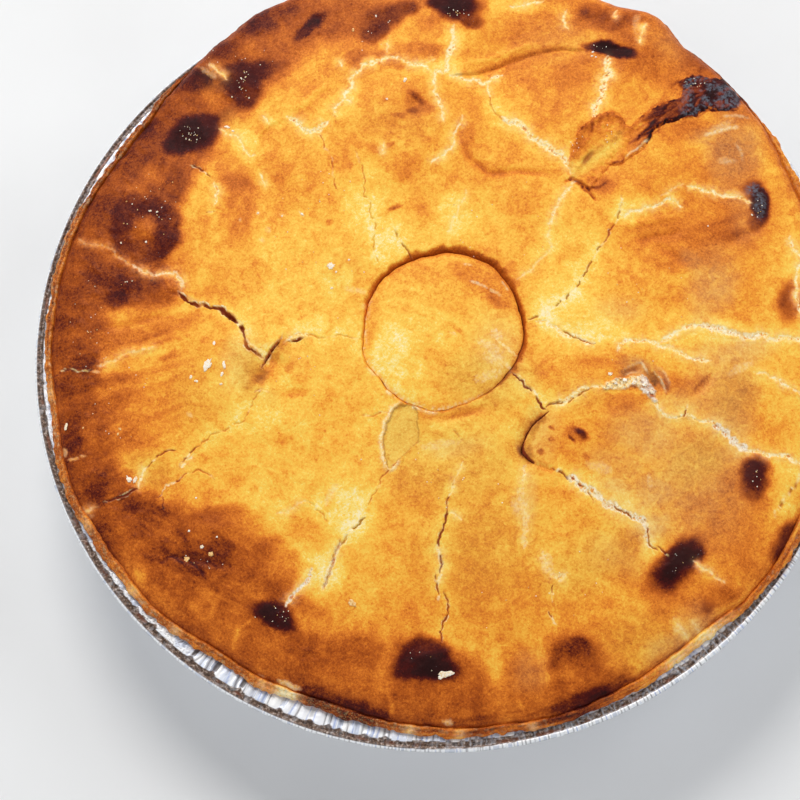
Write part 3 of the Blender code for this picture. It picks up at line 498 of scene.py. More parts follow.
# dark and burnt spots: also how burnt, which makes them bubbly and dull blue-grey, flecked with light specks that are
# painted glints
BURNS = [
    (80, 250, 20, 70, 0, 0.90, 0.5, 0.0), (74, 180, 24, 36, 35, 0.90, 0.5, 0.0), (104, 180, 22, 34, 30, 0.88, 0.6, 0.0),
    (150, 118, 40, 14, -48, 0.92, 0.8, 0.0), (72, 300, 16, 26, 0, 0.92, 0.5, 0.0), (200, 78, 12, 9, 0, 1.12, 0.9, 0.3),
    (78, 384, 18, 40, 5, 0.87, 0.6, 0.0), (74, 352, 10, 18, 0, 0.86, 0.7, 0.0), (84, 364, 9, 8, 0, 0.97, 0.6, 0.1),
    (72, 440, 9, 16, 8, 0.97, 0.6, 0.1), (74, 403, 12, 12, 0, 0.95, 0.6, 0.0), (97, 482, 15, 20, 0, 0.92, 0.6, 0.0),
    (96, 498, 9, 8, 0, 0.96, 0.6, 0.0), (90, 468, 12, 14, 0, 0.90, 0.6, 0.0), (104, 534, 14, 10, 20, 0.92, 0.6, 0.0),
    (136, 509, 22, 8, 8, 0.88, 0.6, 0.0), (268, 19, 24, 10, -25, 0.97, 0.7, 0.1),
    (224, 50, 13, 8, -30, 0.98, 0.8, 0.2), (297, 12, 24, 10, 0, 0.86, 0.6, 0.0),
    (311, 25, 15, 4.8, -40, 1.12, 0.8, 0.4), (306, 30, 9, 4.4, -30, 1.04, 0.8, 0.3),
    (386, 18, 21, 9, -16, 0.95, 0.9, 0.4), (374, 31, 12, 8, -25, 0.99, 0.9, 0.3), (402, 9, 13, 7, -10, 0.98, 0.8, 0.3),
    (458, 7, 20, 12, 0, 1.16, 0.7, 0.9), (470, 20, 12, 6, 20, 0.95, 0.6, 0.5), (440, 3, 12, 6, 0, 1.10, 0.6, 0.8),
    (242, 82, 15, 16, 0, 1.14, 0.9, 0.7), (255, 71, 15, 9, -15, 1.12, 0.8, 0.6), (247, 96, 9, 11, 0, 1.04, 0.8, 0.6), (231, 76, 9, 8, 0, 1.04, 0.8, 0.4),
    (194, 133, 19, 13, -12, 1.18, 0.8, 0.9), (181, 141, 13, 9, -30, 1.14, 0.8, 0.7), (206, 124, 9, 8, 0, 1.08, 0.8, 0.7),
    # the ring-shaped blister on the left
    (121, 224, 9, 24, 5, 1.03, 0.5, 0.35), (128, 203, 14, 8, -35, 1.02, 0.5, 0.35), (156, 202, 10, 7, 20, 1.00, 0.5, 0.35),
    (144, 207, 18, 7, 5, 1.02, 0.5, 0.35), (169, 218, 10, 12, 0, 0.99, 0.5, 0.35), (167, 238, 11, 12, -20, 1.01, 0.5, 0.35),
    (150, 254, 17, 7, -20, 1.01, 0.5, 0.35), (122, 246, 9, 9, 0, 1.0, 0.5, 0.35), (134, 252, 8, 6, 20, 0.98, 0.5, 0.35),
    (145, 229, 10, 8, -10, 0.79, 0.6, 0.0),
    (131, 278, 8, 7, 0, 0.93, 0.6, 0.2), (112, 258, 8, 5, 0, 0.87, 0.6, 0.1), (116, 298, 9, 7, 0, 1.02, 0.8, 0.3),
    (171, 286, 9, 8, -35, 0.80, 0.5, 0.0), (150, 297, 18, 6, -8, 0.84, 0.6, 0.0),
    # lower left
    (215, 526, 44, 15, -6, 0.83, 0.6, 0.0), (204, 524, 18, 7, -15, 0.89, 0.6, 0.0), (140, 548, 40, 26, 15, 0.86, 0.6, 0.0),
    (196, 562, 44, 18, 8, 0.92, 0.6, 0.1), (194, 563, 15, 4, 20, 0.94, 0.8, 0.2), (176, 557, 12, 3, -8, 0.92, 0.8, 0.2),
    (161, 563, 11, 2.5, -40, 0.94, 0.7, 0.1), (200, 574, 10, 4, 24, 0.95, 0.8, 0.2), (222, 548, 12, 8, 0, 0.95, 0.5, 0.1),
    (180, 590, 26, 18, 0, 0.86, 0.6, 0.0), (150, 580, 26, 14, 10, 0.80, 0.6, 0.0), (270, 560, 24, 18, 30, 0.78, 0.6, 0.0),
    (230, 596, 40, 22, 0, 0.80, 0.6, 0.0), (132, 565, 9, 14, -20, 0.74, 0.6, 0.0), (140, 573, 7, 11, -15, 0.60, 0.5, 0.0),
    (240, 638, 30, 14, 15, 0.78, 0.6, 0.0), (235, 645, 6, 7, 0, 0.93, 0.6, 0.0), (196, 632, 24, 8, 20, 0.86, 0.7, 0.0),
    (260, 610, 12, 7, 0, 0.86, 0.9, 0.2), (272, 612, 16, 9, 16, 1.22, 0.9, 0.8), (284, 619, 12, 8, 30, 1.14, 0.9, 0.7), (290, 603, 10, 6, -30, 0.90, 0.9, 0.2),
    (312, 622, 26, 9, 25, 0.70, 0.6, 0.0), (310, 668, 22, 26, 15, 0.88, 0.6, 0.0), (325, 654, 20, 12, 0, 0.86, 0.6, 0.0),
    (314, 694, 14, 6, 15, 0.96, 0.7, 0.1), (344, 709, 36, 8, 14, 0.96, 0.8, 0.1), (353, 713, 26, 8, 12, 1.05, 0.8, 0.15),
    (345, 676, 22, 16, 0, 0.78, 0.6, 0.0), (340, 655, 16, 10, 0, 0.82, 0.6, 0.0),
    # front
    (427, 663, 31, 17, -6, 0.93, 0.7, 0.3), (420, 658, 21, 14, 0, 1.20, 0.8, 0.7), (434, 666, 21, 11, 20, 1.20, 0.8, 0.7), (407, 668, 15, 9, -20, 1.14, 0.8, 0.6), (424, 647, 12, 8, 0, 1.00, 0.9, 0.6),
    (400, 690, 20, 14, 0, 0.84, 0.7, 0.0), (448, 692, 30, 16, 0, 0.84, 0.7, 0.0), (480, 716, 20, 5, -4, 0.90, 0.8, 0.0),
    (470, 704, 22, 10, 0, 0.83, 0.8, 0.0), (388, 666, 10, 26, 10, 0.76, 0.6, 0.0), (438, 712, 30, 6, 0, 0.80, 0.6, 0.0),
    (572, 653, 20, 16, 0, 0.92, 0.9, 0.1), (575, 649, 12, 8, 0, 0.97, 0.9, 0.1), (556, 660, 8, 13, 20, 0.86, 0.8, 0.0), (587, 662, 13, 13, 0, 0.89, 0.9, 0.0),
    (566, 692, 34, 9, -12, 0.83, 0.9, 0.0), (589, 700, 24, 9, -22, 1.10, 0.8, 0.7), (611, 690, 16, 6, -24, 0.88, 0.9, 0.2), (566, 708, 18, 6, -16, 0.95, 0.8, 0.3),
    (524, 674, 16, 26, -5, 0.72, 0.6, 0.0), (530, 700, 20, 14, 0, 0.77, 0.6, 0.0),
    # right
    (678, 584, 40, 22, -42, 0.68, 0.6, 0.0), (676, 568, 28, 15, -46, 0.96, 0.9, 0.4), (676, 566, 22, 11, -50, 1.20, 0.9, 0.8), (687, 555, 13, 10, 0, 1.20, 0.8, 0.7), (662, 589, 11, 12, 0, 0.94, 0.9, 0.2),
    (710, 608, 6, 9, 15, 0.92, 0.5, 0.6), (722, 596, 16, 8, -25, 0.80, 0.6, 0.0), (728, 592, 6, 6, 0, 0.90, 0.6, 0.0),
    (756, 474, 12, 18, 0, 1.10, 0.8, 0.7), (752, 486, 12, 12, 0, 0.92, 0.6, 0.6), (750, 492, 10, 10, 0, 0.84, 0.6, 0.4),
    (760, 203, 8, 16, -8, 1.18, 0.6, 1.0), (752, 190, 8, 10, 0, 0.90, 0.6, 0.8), (756, 222, 8, 8, 0, 0.92, 0.6, 0.3),
    (606, 48, 17, 5.0, 6, 1.24, 0.8, 0.6), (622, 52, 11, 4.4, 10, 1.10, 0.8, 0.4), (592, 46, 7, 3, -5, 0.88, 0.6, 0.2),
    (608, 24, 14, 8, 0, 0.80, 0.6, 0.1), (594, 10, 14, 8, 0, 0.80, 0.6, 0.0), (632, 18, 10, 5, 0, 0.80, 0.6, 0.0),
    (575, 434, 9, 6, 20, 0.80, 0.9, 0.1), (579, 433, 6.5, 3.4, 48, 1.10, 0.7, 0.35), (571, 441, 3.4, 1.5, 48, 1.02, 0.6, 0.2),
    (553, 428, 3.4, 1.6, 30, 0.90, 0.5, 0.0), (539, 452, 4, 3, 0, 0.80, 0.5, 0.0), (553, 440, 3, 1.5, -20, 0.85, 0.5, 0.0), (588, 457, 4, 3, 0, 0.74, 0.6, 0.0),
    (417, 97, 10, 3.0, 36, 0.92, 0.8, 0.1), (411, 109, 6, 3, 0, 0.88, 0.7, 0.1), (398, 114, 6, 2.5, -10, 0.76, 0.7, 0.0), (428, 108, 7, 4, 10, 0.78, 0.7, 0.0),
    (390, 146, 4.5, 2.6, -20, 0.66, 0.5, 0.0), (330, 222, 4, 3, -30, 0.66, 0.5, 0.0), (396, 208, 7, 2, -5, 0.68, 0.5, 0.0),
    (300, 318, 5, 1.6, -25, 0.60, 0.5, 0.0), (291, 369, 5, 4, 0, 0.68, 0.6, 0.0),
    (296, 394, 9, 3.5, -12, 0.63, 0.5, 0.0), (703, 383, 12, 1.6, -50, 0.80, 0.6, 0.0), (642, 369, 13, 4, 12, 0.55, 0.5, 0.0),
    (700, 252, 40, 12, -12, 0.68, 0.6, 0.0), (722, 236, 18, 5, -14, 0.78, 0.6, 0.0),
    (790, 300, 14, 22, 10, 0.92, 0.5, 0.4), (820, 400, 12, 26, 0, 0.96, 0.5, 0.6), (790, 540, 22, 14, -50, 1.00, 0.55, 0.6),
]
# where the crust is duller: greyed tan (1), on the right side a painted sheen, or golden olive (2), and how strongly
DULL = [
    (700, 480, 46, 60, 0, 1, 0.75), (720, 390, 30, 26, 0, 1, 0.7), (650, 435, 40, 26, 10, 1, 0.8), (735, 150, 24, 34, 0, 1, 1.0),
    (722, 165, 10, 14, 0, 1, 0.8), (715, 130, 22, 7, -15, 1, 0.9), (712, 285, 22, 34, 20, 1, 0.9), (694, 262, 14, 10, 30, 1, 0.7),
    (640, 505, 30, 26, 0, 1, 0.5), (620, 555, 30, 20, 0, 1, 0.45), (666, 646, 22, 12, -30, 1, 0.8), (696, 616, 14, 14, 0, 1, 0.6),
    (530, 672, 14, 20, 0, 1, 0.55), (620, 466, 30, 16, 20, 1, 0.5), (500, 358, 16, 22, 20, 1, 0.7), (505, 325, 10, 12, 0, 1, 0.4),
    (455, 447, 24, 8, -10, 1, 0.7), (745, 215, 16, 30, 0, 1, 0.5), (540, 435, 16, 26, 20, 1, 0.5), (524, 500, 10, 30, 0, 1, 0.6),
    (560, 40, 40, 20, 0, 1, 0.25), (675, 640, 20, 12, -30, 1, 0.5), (674, 44, 26, 18, 40, 1, 0.5), (728, 400, 24, 50, 0, 1, 0.8), (690, 634, 30, 12, -35, 1, 1.0), (240, 360, 18, 26, 20, 1, 0.5),
    (450, 460, 70, 44, 0, 2, 0.7), (480, 540, 60, 60, 0, 2, 0.5), (500, 385, 34, 22, -20, 2, 0.9), (460, 395, 50, 14, 0, 2, 0.7),
    (735, 395, 18, 30, 10, 2, 0.5), (700, 460, 30, 20, -30, 2, 0.6), (735, 352, 34, 14, -5, 1, 0.9), (726, 420, 26, 20, 0, 1, 0.9), (618, 488, 22, 10, 30, 1, 0.7),
    (655, 492, 22, 16, 0, 1, 1.0), (640, 368, 20, 9, 12, 1, 1.0), (652, 526, 22, 16, 0, 1, 1.0), (728, 454, 20, 16, 0, 1, 0.8), (690, 632, 24, 10, -35, 1, 1.0), (690, 402, 30, 12, 10, 1, 0.7),
    (620, 308, 22, 12, 0, 1, 0.4), (590, 560, 60, 30, -25, 2, 0.5), (640, 640, 40, 26, -20, 2, 0.4),
    (250, 375, 16, 24, 0, 2, 0.9), (265, 395, 10, 10, 0, 2, 0.7), (340, 270, 20, 14, 0, 2, 0.3), (218, 80, 18, 12, 0, 2, 0.5),
    (150, 470, 24, 14, 20, 2, 0.5), (230, 120, 12, 10, 0, 2, 0.5), (400, 120, 40, 20, 0, 2, 0.25), (205, 395, 30, 34, 0, 2, 0.35), (580, 395, 30, 14, 0, 2, 0.4),
]


# soft shading laid over the rest: centre, half sizes, turn, how much darker, how soft
TOUCH = [
    (404, 56, 44, 10, -6, 0.21, 0.8), (360, 56, 20, 14, -20, 0.18, 0.8), (438, 56, 12, 14, 0, 0.06, 0.8), (256, 18, 26, 16, -30, 0.12, 0.8), (472, 130, 14, 20, 0, 0.08, 0.9),
    (520, 30, 30, 12, -8, 0.07, 0.9), (600, 22, 34, 14, 0, 0.10, 0.9), (600, 62, 30, 8, 0, 0.11, 0.9), (560, 90, 40, 22, 0, 0.06, 0.9), (654, 92, 30, 22, 30, 0.07, 0.9),
    (690, 127, 26, 9, -14, 0.24, 0.8), (364, 160, 26, 30, 0, 0.13, 0.9), (402, 200, 22, 34, 0, 0.14, 0.9), (270, 200, 34, 26, 0, 0.09, 0.9), (292, 126, 26, 12, -10, 0.14, 0.9),
    (186, 198, 16, 26, 20, -0.10, 0.8), (148, 178, 30, 10, -30, -0.10, 0.8), (112, 278, 26, 14, 20, 0.10, 0.8), (112, 344, 20, 16, 0, 0.09, 0.8), (148, 340, 30, 16, -10, 0.11, 0.8),
    (112, 396, 18, 30, 0, 0.10, 0.8), (212, 310, 30, 14, 25, 0.08, 0.8), (256, 344, 14, 10, 0, 0.05, 0.8), (292, 346, 16, 8, 0, 0.10, 0.9), (260, 376, 14, 18, 20, 0.13, 0.9),
    (364, 344, 24, 18, 0, -0.13, 0.9), (292, 382, 20, 12, 0, -0.08, 0.9), (256, 418, 26, 16, 0, -0.09, 0.9), (294, 418, 24, 20, 0, -0.09, 0.9), (364, 490, 26, 14, -40, -0.10, 0.9),
    (364, 526, 20, 18, 0, -0.13, 0.9), (256, 524, 26, 14, 0, -0.24, 0.8), (292, 560, 18, 20, 0, -0.14, 0.8), (148, 594, 26, 14, 40, -0.11, 0.9), (366, 598, 26, 20, 0, -0.15, 0.9),
    (328, 630, 22, 14, 15, -0.10, 0.9), (292, 668, 16, 14, 30, -0.07, 0.9), (616, 308, 26, 14, 0, -0.08, 0.9), (616, 488, 24, 10, 30, -0.06, 0.9), (560, 226, 16, 40, 15, 0.08, 0.9),
    (544, 272, 18, 16, 0, 0.09, 0.9), (544, 380, 16, 18, 0, 0.09, 0.9), (690, 306, 22, 20, 0, 0.12, 0.9), (724, 416, 18, 14, 0, -0.06, 0.9), (724, 524, 26, 22, -60, -0.07, 0.9),
    (690, 632, 18, 10, -30, -0.06, 0.9), (618, 384, 18, 8, 0, 0.05, 0.9), (440, 560, 8, 40, 0, -0.08, 0.9), (400, 380, 10, 14, 0, -0.08, 0.9),
    (578, 22, 17, 10, -8, 0.08, 0.9), (396, 52, 26, 9, -5, 0.05, 0.9), (690, 57, 16, 12, 40, 0.09, 0.9), (362, 92, 14, 15, 10, 0.06, 0.9), (437, 95, 9, 14, 0, 0.06, 0.9),
    (618, 90, 9, 15, 10, 0.07, 0.9), (545, 126, 14, 17, 0, 0.05, 0.9), (706, 131, 28, 9, -12, 0.06, 0.9), (219, 182, 13, 32, 8, 0.08, 0.9), (470, 201, 11, 14, 10, 0.09, 0.9),
    (722, 203, 18, 10, 6, 0.06, 0.9), (256, 240, 17, 12, 15, -0.08, 0.9), (398, 236, 9, 13, -10, -0.07, 0.9), (585, 241, 13, 19, 25, 0.08, 0.9), (186, 287, 10, 15, 0, 0.06, 0.9),
    (581, 309, 15, 9, -15, 0.06, 0.9), (114, 382, 15, 13, -20, 0.06, 0.9), (152, 454, 21, 12, -24, 0.08, 0.9), (187, 452, 12, 10, -20, 0.05, 0.9), (257, 456, 17, 11, -15, -0.08, 0.9),
    (328, 452, 15, 14, 0, 0.08, 0.9), (436, 453, 13, 13, 0, -0.08, 0.9), (562, 490, 26, 12, 24, 0.09, 0.9), (650, 556, 6, 9, 0, -0.14, 0.8), (650, 600, 13, 11, -35, -0.12, 0.9),
    (694, 557, 10, 12, 0, 0.06, 0.9), (722, 562, 15, 13, 0, 0.06, 0.9), (147, 561, 12, 8, 10, 0.06, 0.9), (256, 594, 12, 11, 0, -0.08, 0.9), (544, 671, 12, 14, 0, 0.10, 0.9),
    (617, 666, 15, 9, -20, 0.06, 0.9), (97, 484, 12, 15, 10, 0.10, 0.8),
    (434, 21, 13, 11, -20, 0.13, 0.8), (538, 104, 32, 18, 25, 0.06, 0.9), (566, 18, 28, 9, -6, 0.06, 0.9), (692, 58, 17, 9, 40, 0.07, 0.9), (150, 132, 15, 12, -40, 0.06, 0.9),
    (150, 280, 15, 7, 15, 0.07, 0.9), (187, 312, 14, 9, 20, 0.06, 0.9), (343, 345, 14, 6, -10, 0.07, 0.8), (327, 562, 10, 15, 20, -0.08, 0.9), (579, 497, 15, 8, 35, 0.07, 0.9),
    (362, 356, 6, 18, -10, -0.08, 0.8), (618, 346, 14, 6, -5, -0.08, 0.8), (437, 452, 15, 9, -10, -0.05, 0.9), (694, 168, 15, 12, 0, 0.05, 0.9),
]
# places where the browning runs in streaks: centre, half sizes, turn, length, breadth, how strong
STREAKS = [
    (150, 352, 80, 46, -17, 30, 4.2, 0.10), (160, 430, 80, 40, -27, 26, 4.0, 0.08), (205, 205, 40, 80, -62, 34, 5.0, 0.09), (300, 90, 60, 40, -32, 30, 4.5, 0.07),
    (430, 60, 90, 36, -10, 34, 4.0, 0.06), (700, 235, 70, 50, -18, 30, 5.0, 0.07), (600, 220, 30, 50, -60, 26, 4.0, 0.05), (690, 510, 60, 60, -50, 30, 5.0, 0.06),
    (185, 560, 80, 46, 34, 14, 3.4, 0.09), (330, 250, 60, 60, -70, 26, 5.0, 0.05), (480, 560, 50, 70, 85, 30, 5.0, 0.05), (390, 130, 40, 30, 20, 16, 3.6, 0.06),
]
# painted lines and bands: width, points and what they add along them
STROKES = [
    # the boiled-out filling's loop, ropes and outline
    (4.0, [(593, 122), (592, 128), (591, 134)], {"tone": 0.28}), (3.6, [(579, 132), (583, 128), (588, 127)], {"tone": 0.14}),
    (4.6, [(598, 126), (600, 119), (606, 115), (612, 114), (618, 117), (621, 122), (622, 128)], {"tone": 0.15}), (1.3, [(596, 118), (602, 113), (611, 111), (619, 114), (624, 121), (624, 127)], {"tone": 0.12}),
    (4.5, [(574, 174), (588, 160), (603, 147), (622, 131)], {"tone": 0.12, "olive": 0.9}), (2.6, [(569, 179), (576, 182), (582, 187), (590, 189), (600, 187), (607, 182)], {"tone": 0.26}),
    (1.8, [(581, 187), (588, 192), (594, 199)], {"tone": 0.34}), (3.0, [(566, 170), (571, 176), (569, 180)], {"tone": 0.20}), (2.2, [(611, 164), (617, 162), (622, 162), (624, 158)], {"tone": 0.34}),
    (1.7, [(626, 157), (632, 152), (641, 146), (648, 140)], {"pale": 0.6}), (2.2, [(648, 138), (652, 134), (658, 131), (659, 126)], {"tone": 0.28}),
    (2.4, [(658, 124), (666, 121), (677, 119), (690, 114), (698, 116), (706, 111), (716, 109), (732, 110)], {"tone": 0.26}), (1.8, [(629, 129), (637, 120), (647, 113), (654, 106), (668, 101), (680, 102)], {"tone": 0.18}),
    (3.0, [(628, 144), (638, 138), (646, 130), (656, 121)], {"tone": 0.20}), (2.2, [(636, 141), (646, 135), (655, 128)], {"tone": 0.20}), (2.0, [(634, 131), (643, 124), (650, 121)], {"tone": -0.14}),
    (2.4, [(632, 136), (641, 131), (648, 126)], {"tone": -0.12}), (4.0, [(672, 86), (676, 83), (681, 80)], {"tone": 0.18}), (2.0, [(600, 176), (606, 169), (616, 164), (626, 150)], {"tone": 0.08}),
    (2.0, [(588, 182), (593, 178), (597, 180), (592, 184)], {"tone": 0.16}), (7.0, [(575, 160), (578, 148), (586, 138)], {"tone": 0.08}),
    # golden streaks down the lower left and front, and the curved crease there, darkened with painted shade
    (3.6, [(252, 619), (245, 625), (237, 632), (234, 641), (233, 652)], {"tone": -0.16}), (4.0, [(222, 590), (214, 602), (211, 616)], {"tone": -0.08}), (5.0, [(189, 600), (196, 612), (202, 622)], {"tone": -0.08}),
    (3.0, [(160, 562), (170, 556), (182, 557), (194, 564), (205, 575)], {"tone": 0.10, "h": -0.3}), (4.0, [(388, 690), (392, 704), (392, 716)], {"tone": -0.14}), (5.0, [(516, 700), (523, 709)], {"tone": -0.12}),
    # the near end of that tip of crust, and the soft rounded fold beyond it: the darker bands on the tip's wall and in
    # the fold are painted shade
    (10.0, [(286, 336), (279, 346), (273, 356), (268, 364)], {"tone": 0.17}), (11.0, [(266, 367), (260, 376), (257, 385)], {"tone": 0.15, "olive": 0.8}), (8.0, [(247, 362), (246, 376), (244, 388)], {"tan": 0.5}),
    (3.4, [(181, 294), (187, 297), (193, 300), (199, 301)], {"tone": 0.12, "tan": 1.0}), (3.0, [(222, 307), (230, 313), (237, 318)], {"tone": 0.10, "tan": 0.8}), (5.0, [(246, 343), (250, 349), (256, 353), (262, 358)], {"tone": 0.26, "olive": 0.5}),
    (2.0, [(245, 338), (250, 344), (256, 348), (263, 353)], {"pale": 0.45}), (3.0, [(288, 341), (296, 338), (304, 336)], {"tone": 0.10, "tan": 0.8}),
    (1.6, [(256, 391), (262, 388), (268, 391)], {"pale": 0.5}), (3.0, [(163, 281), (168, 291), (178, 294), (184, 288)], {"tone": 0.10, "h": -0.15}), (2.4, [(166, 279), (174, 276), (181, 282)], {"tone": -0.08}),
    # shading along ridges near the far edge
    (6.0, [(470, 82), (488, 76), (512, 67), (540, 58), (566, 54)], {"tone": 0.07}), (5.0, [(424, 74), (404, 68), (386, 66), (372, 72)], {"tone": 0.08}), (4.0, [(333, 66), (344, 52), (360, 42)], {"tone": -0.08}),
    # pale streaks of painted sheen and a duller patch to its right
    (2.0, [(724, 116), (735, 115), (749, 117)], {"pale": 0.4}), (2.8, [(705, 135), (716, 132), (726, 129), (738, 127)], {"pale": 0.6}), (4.5, [(720, 161), (736, 161)], {"pale": 0.25}),
    (5.0, [(700, 140), (716, 146), (722, 158)], {"tan": 0.8, "tone": 0.04}), (2.0, [(735, 143), (741, 150), (742, 160)], {"pale": 0.3}),
    # the layered hollow behind the crumbly flap: its darker bands and the dark slots among the crumbs are painted shade
    (7.0, [(620, 375), (626, 371), (632, 368), (639, 366)], {"tone": 0.24, "tan": 1.0, "olive": 0.5, "h": -0.2}), (3.0, [(644, 361), (650, 365), (655, 366)], {"tone": 0.08, "tan": 1.0, "h": -0.12}),
    (1.4, [(622, 370), (629, 366), (637, 362), (643, 360)], {"pale": 0.35, "h": 0.10}), (1.6, [(626, 374), (633, 371), (641, 371)], {"pale": 0.30, "h": 0.08}),
    (8.0, [(647, 369), (653, 375), (659, 384)], {"tone": 0.28, "tan": 1.0, "olive": 0.9, "h": -0.35}), (4.4, [(656, 368), (663, 374), (667, 382), (669, 391)], {"tone": 0.14, "tan": 1.0, "h": -0.15}),
    (4.0, [(661, 380), (665, 387), (667, 392)], {"tone": 0.12, "tan": 1.0}), (1.3, [(654, 370), (660, 377), (664, 386), (666, 392)], {"pale": 0.5, "h": 0.15}), (1.2, [(650, 369), (656, 372), (660, 380)], {"tone": -0.12, "h": 0.12}),
    (1.2, [(655, 366), (662, 369), (667, 376), (670, 384)], {"pale": 0.35, "h": 0.12}), (1.6, [(641, 361), (645, 367), (648, 371)], {"pale": 0.7, "h": 0.15}), (2.0, [(630, 386), (636, 387)], {"tone": 0.2, "pale": -0.7}),
    (2.2, [(650, 394), (655, 397)], {"tone": 0.24, "pale": -1.0, "h": -0.3}), (9.0, [(662, 398), (676, 402), (692, 406)], {"tone": -0.08}), (4.0, [(604, 391), (620, 391), (640, 392)], {"tone": -0.10}),
    # the rounded nose of the lifted slab on the right, and the notch to its left, both darkened with painted shade
    (9.0, [(546, 415), (537, 424), (530, 434), (527, 444), (528, 452), (533, 460)], {"tone": 0.26, "olive": 0.9}), (6.0, [(519, 443), (520, 449), (525, 456)], {"tone": 0.26, "tan": 1.0, "olive": 0.5}), (2.6, [(542, 469), (550, 472), (557, 474)], {"tone": 0.06}),
]


def pull(value, px, py, things, column):
    """Draws value towards each thing's own number, within its soft oval."""
    for thing in things:
        x, y, rx, ry, turn = thing[:5]
        soft = thing[6]
        c, s = math.cos(math.radians(turn)), math.sin(math.radians(turn))
        far = max(rx, ry) * (1.0 + soft) + 2
        near = np.flatnonzero((np.abs(px - x) < far) & (np.abs(py - y) < far))
        u = ((px[near] - x) * c + (py[near] - y) * s) / rx
        v = (-(px[near] - x) * s + (py[near] - y) * c) / ry
        w = ease((1.0 + soft - np.hypot(u, v)) / (2.0 * soft))
        value[near] += (thing[column] - value[near]) * w
    return value


# ------------------------------------------------------------------ the crust's relief and browning at any point
LINES = [(kind, width, torn(points, 100 + i, 0.16 if kind in "pdt" else 0.05), more) for i, (kind, width, points, more) in enumerate(SPLITS)]
PAINTED = [(width, torn(points, 400 + i, 0.08), more) for i, (width, points, more) in enumerate(STROKES)]


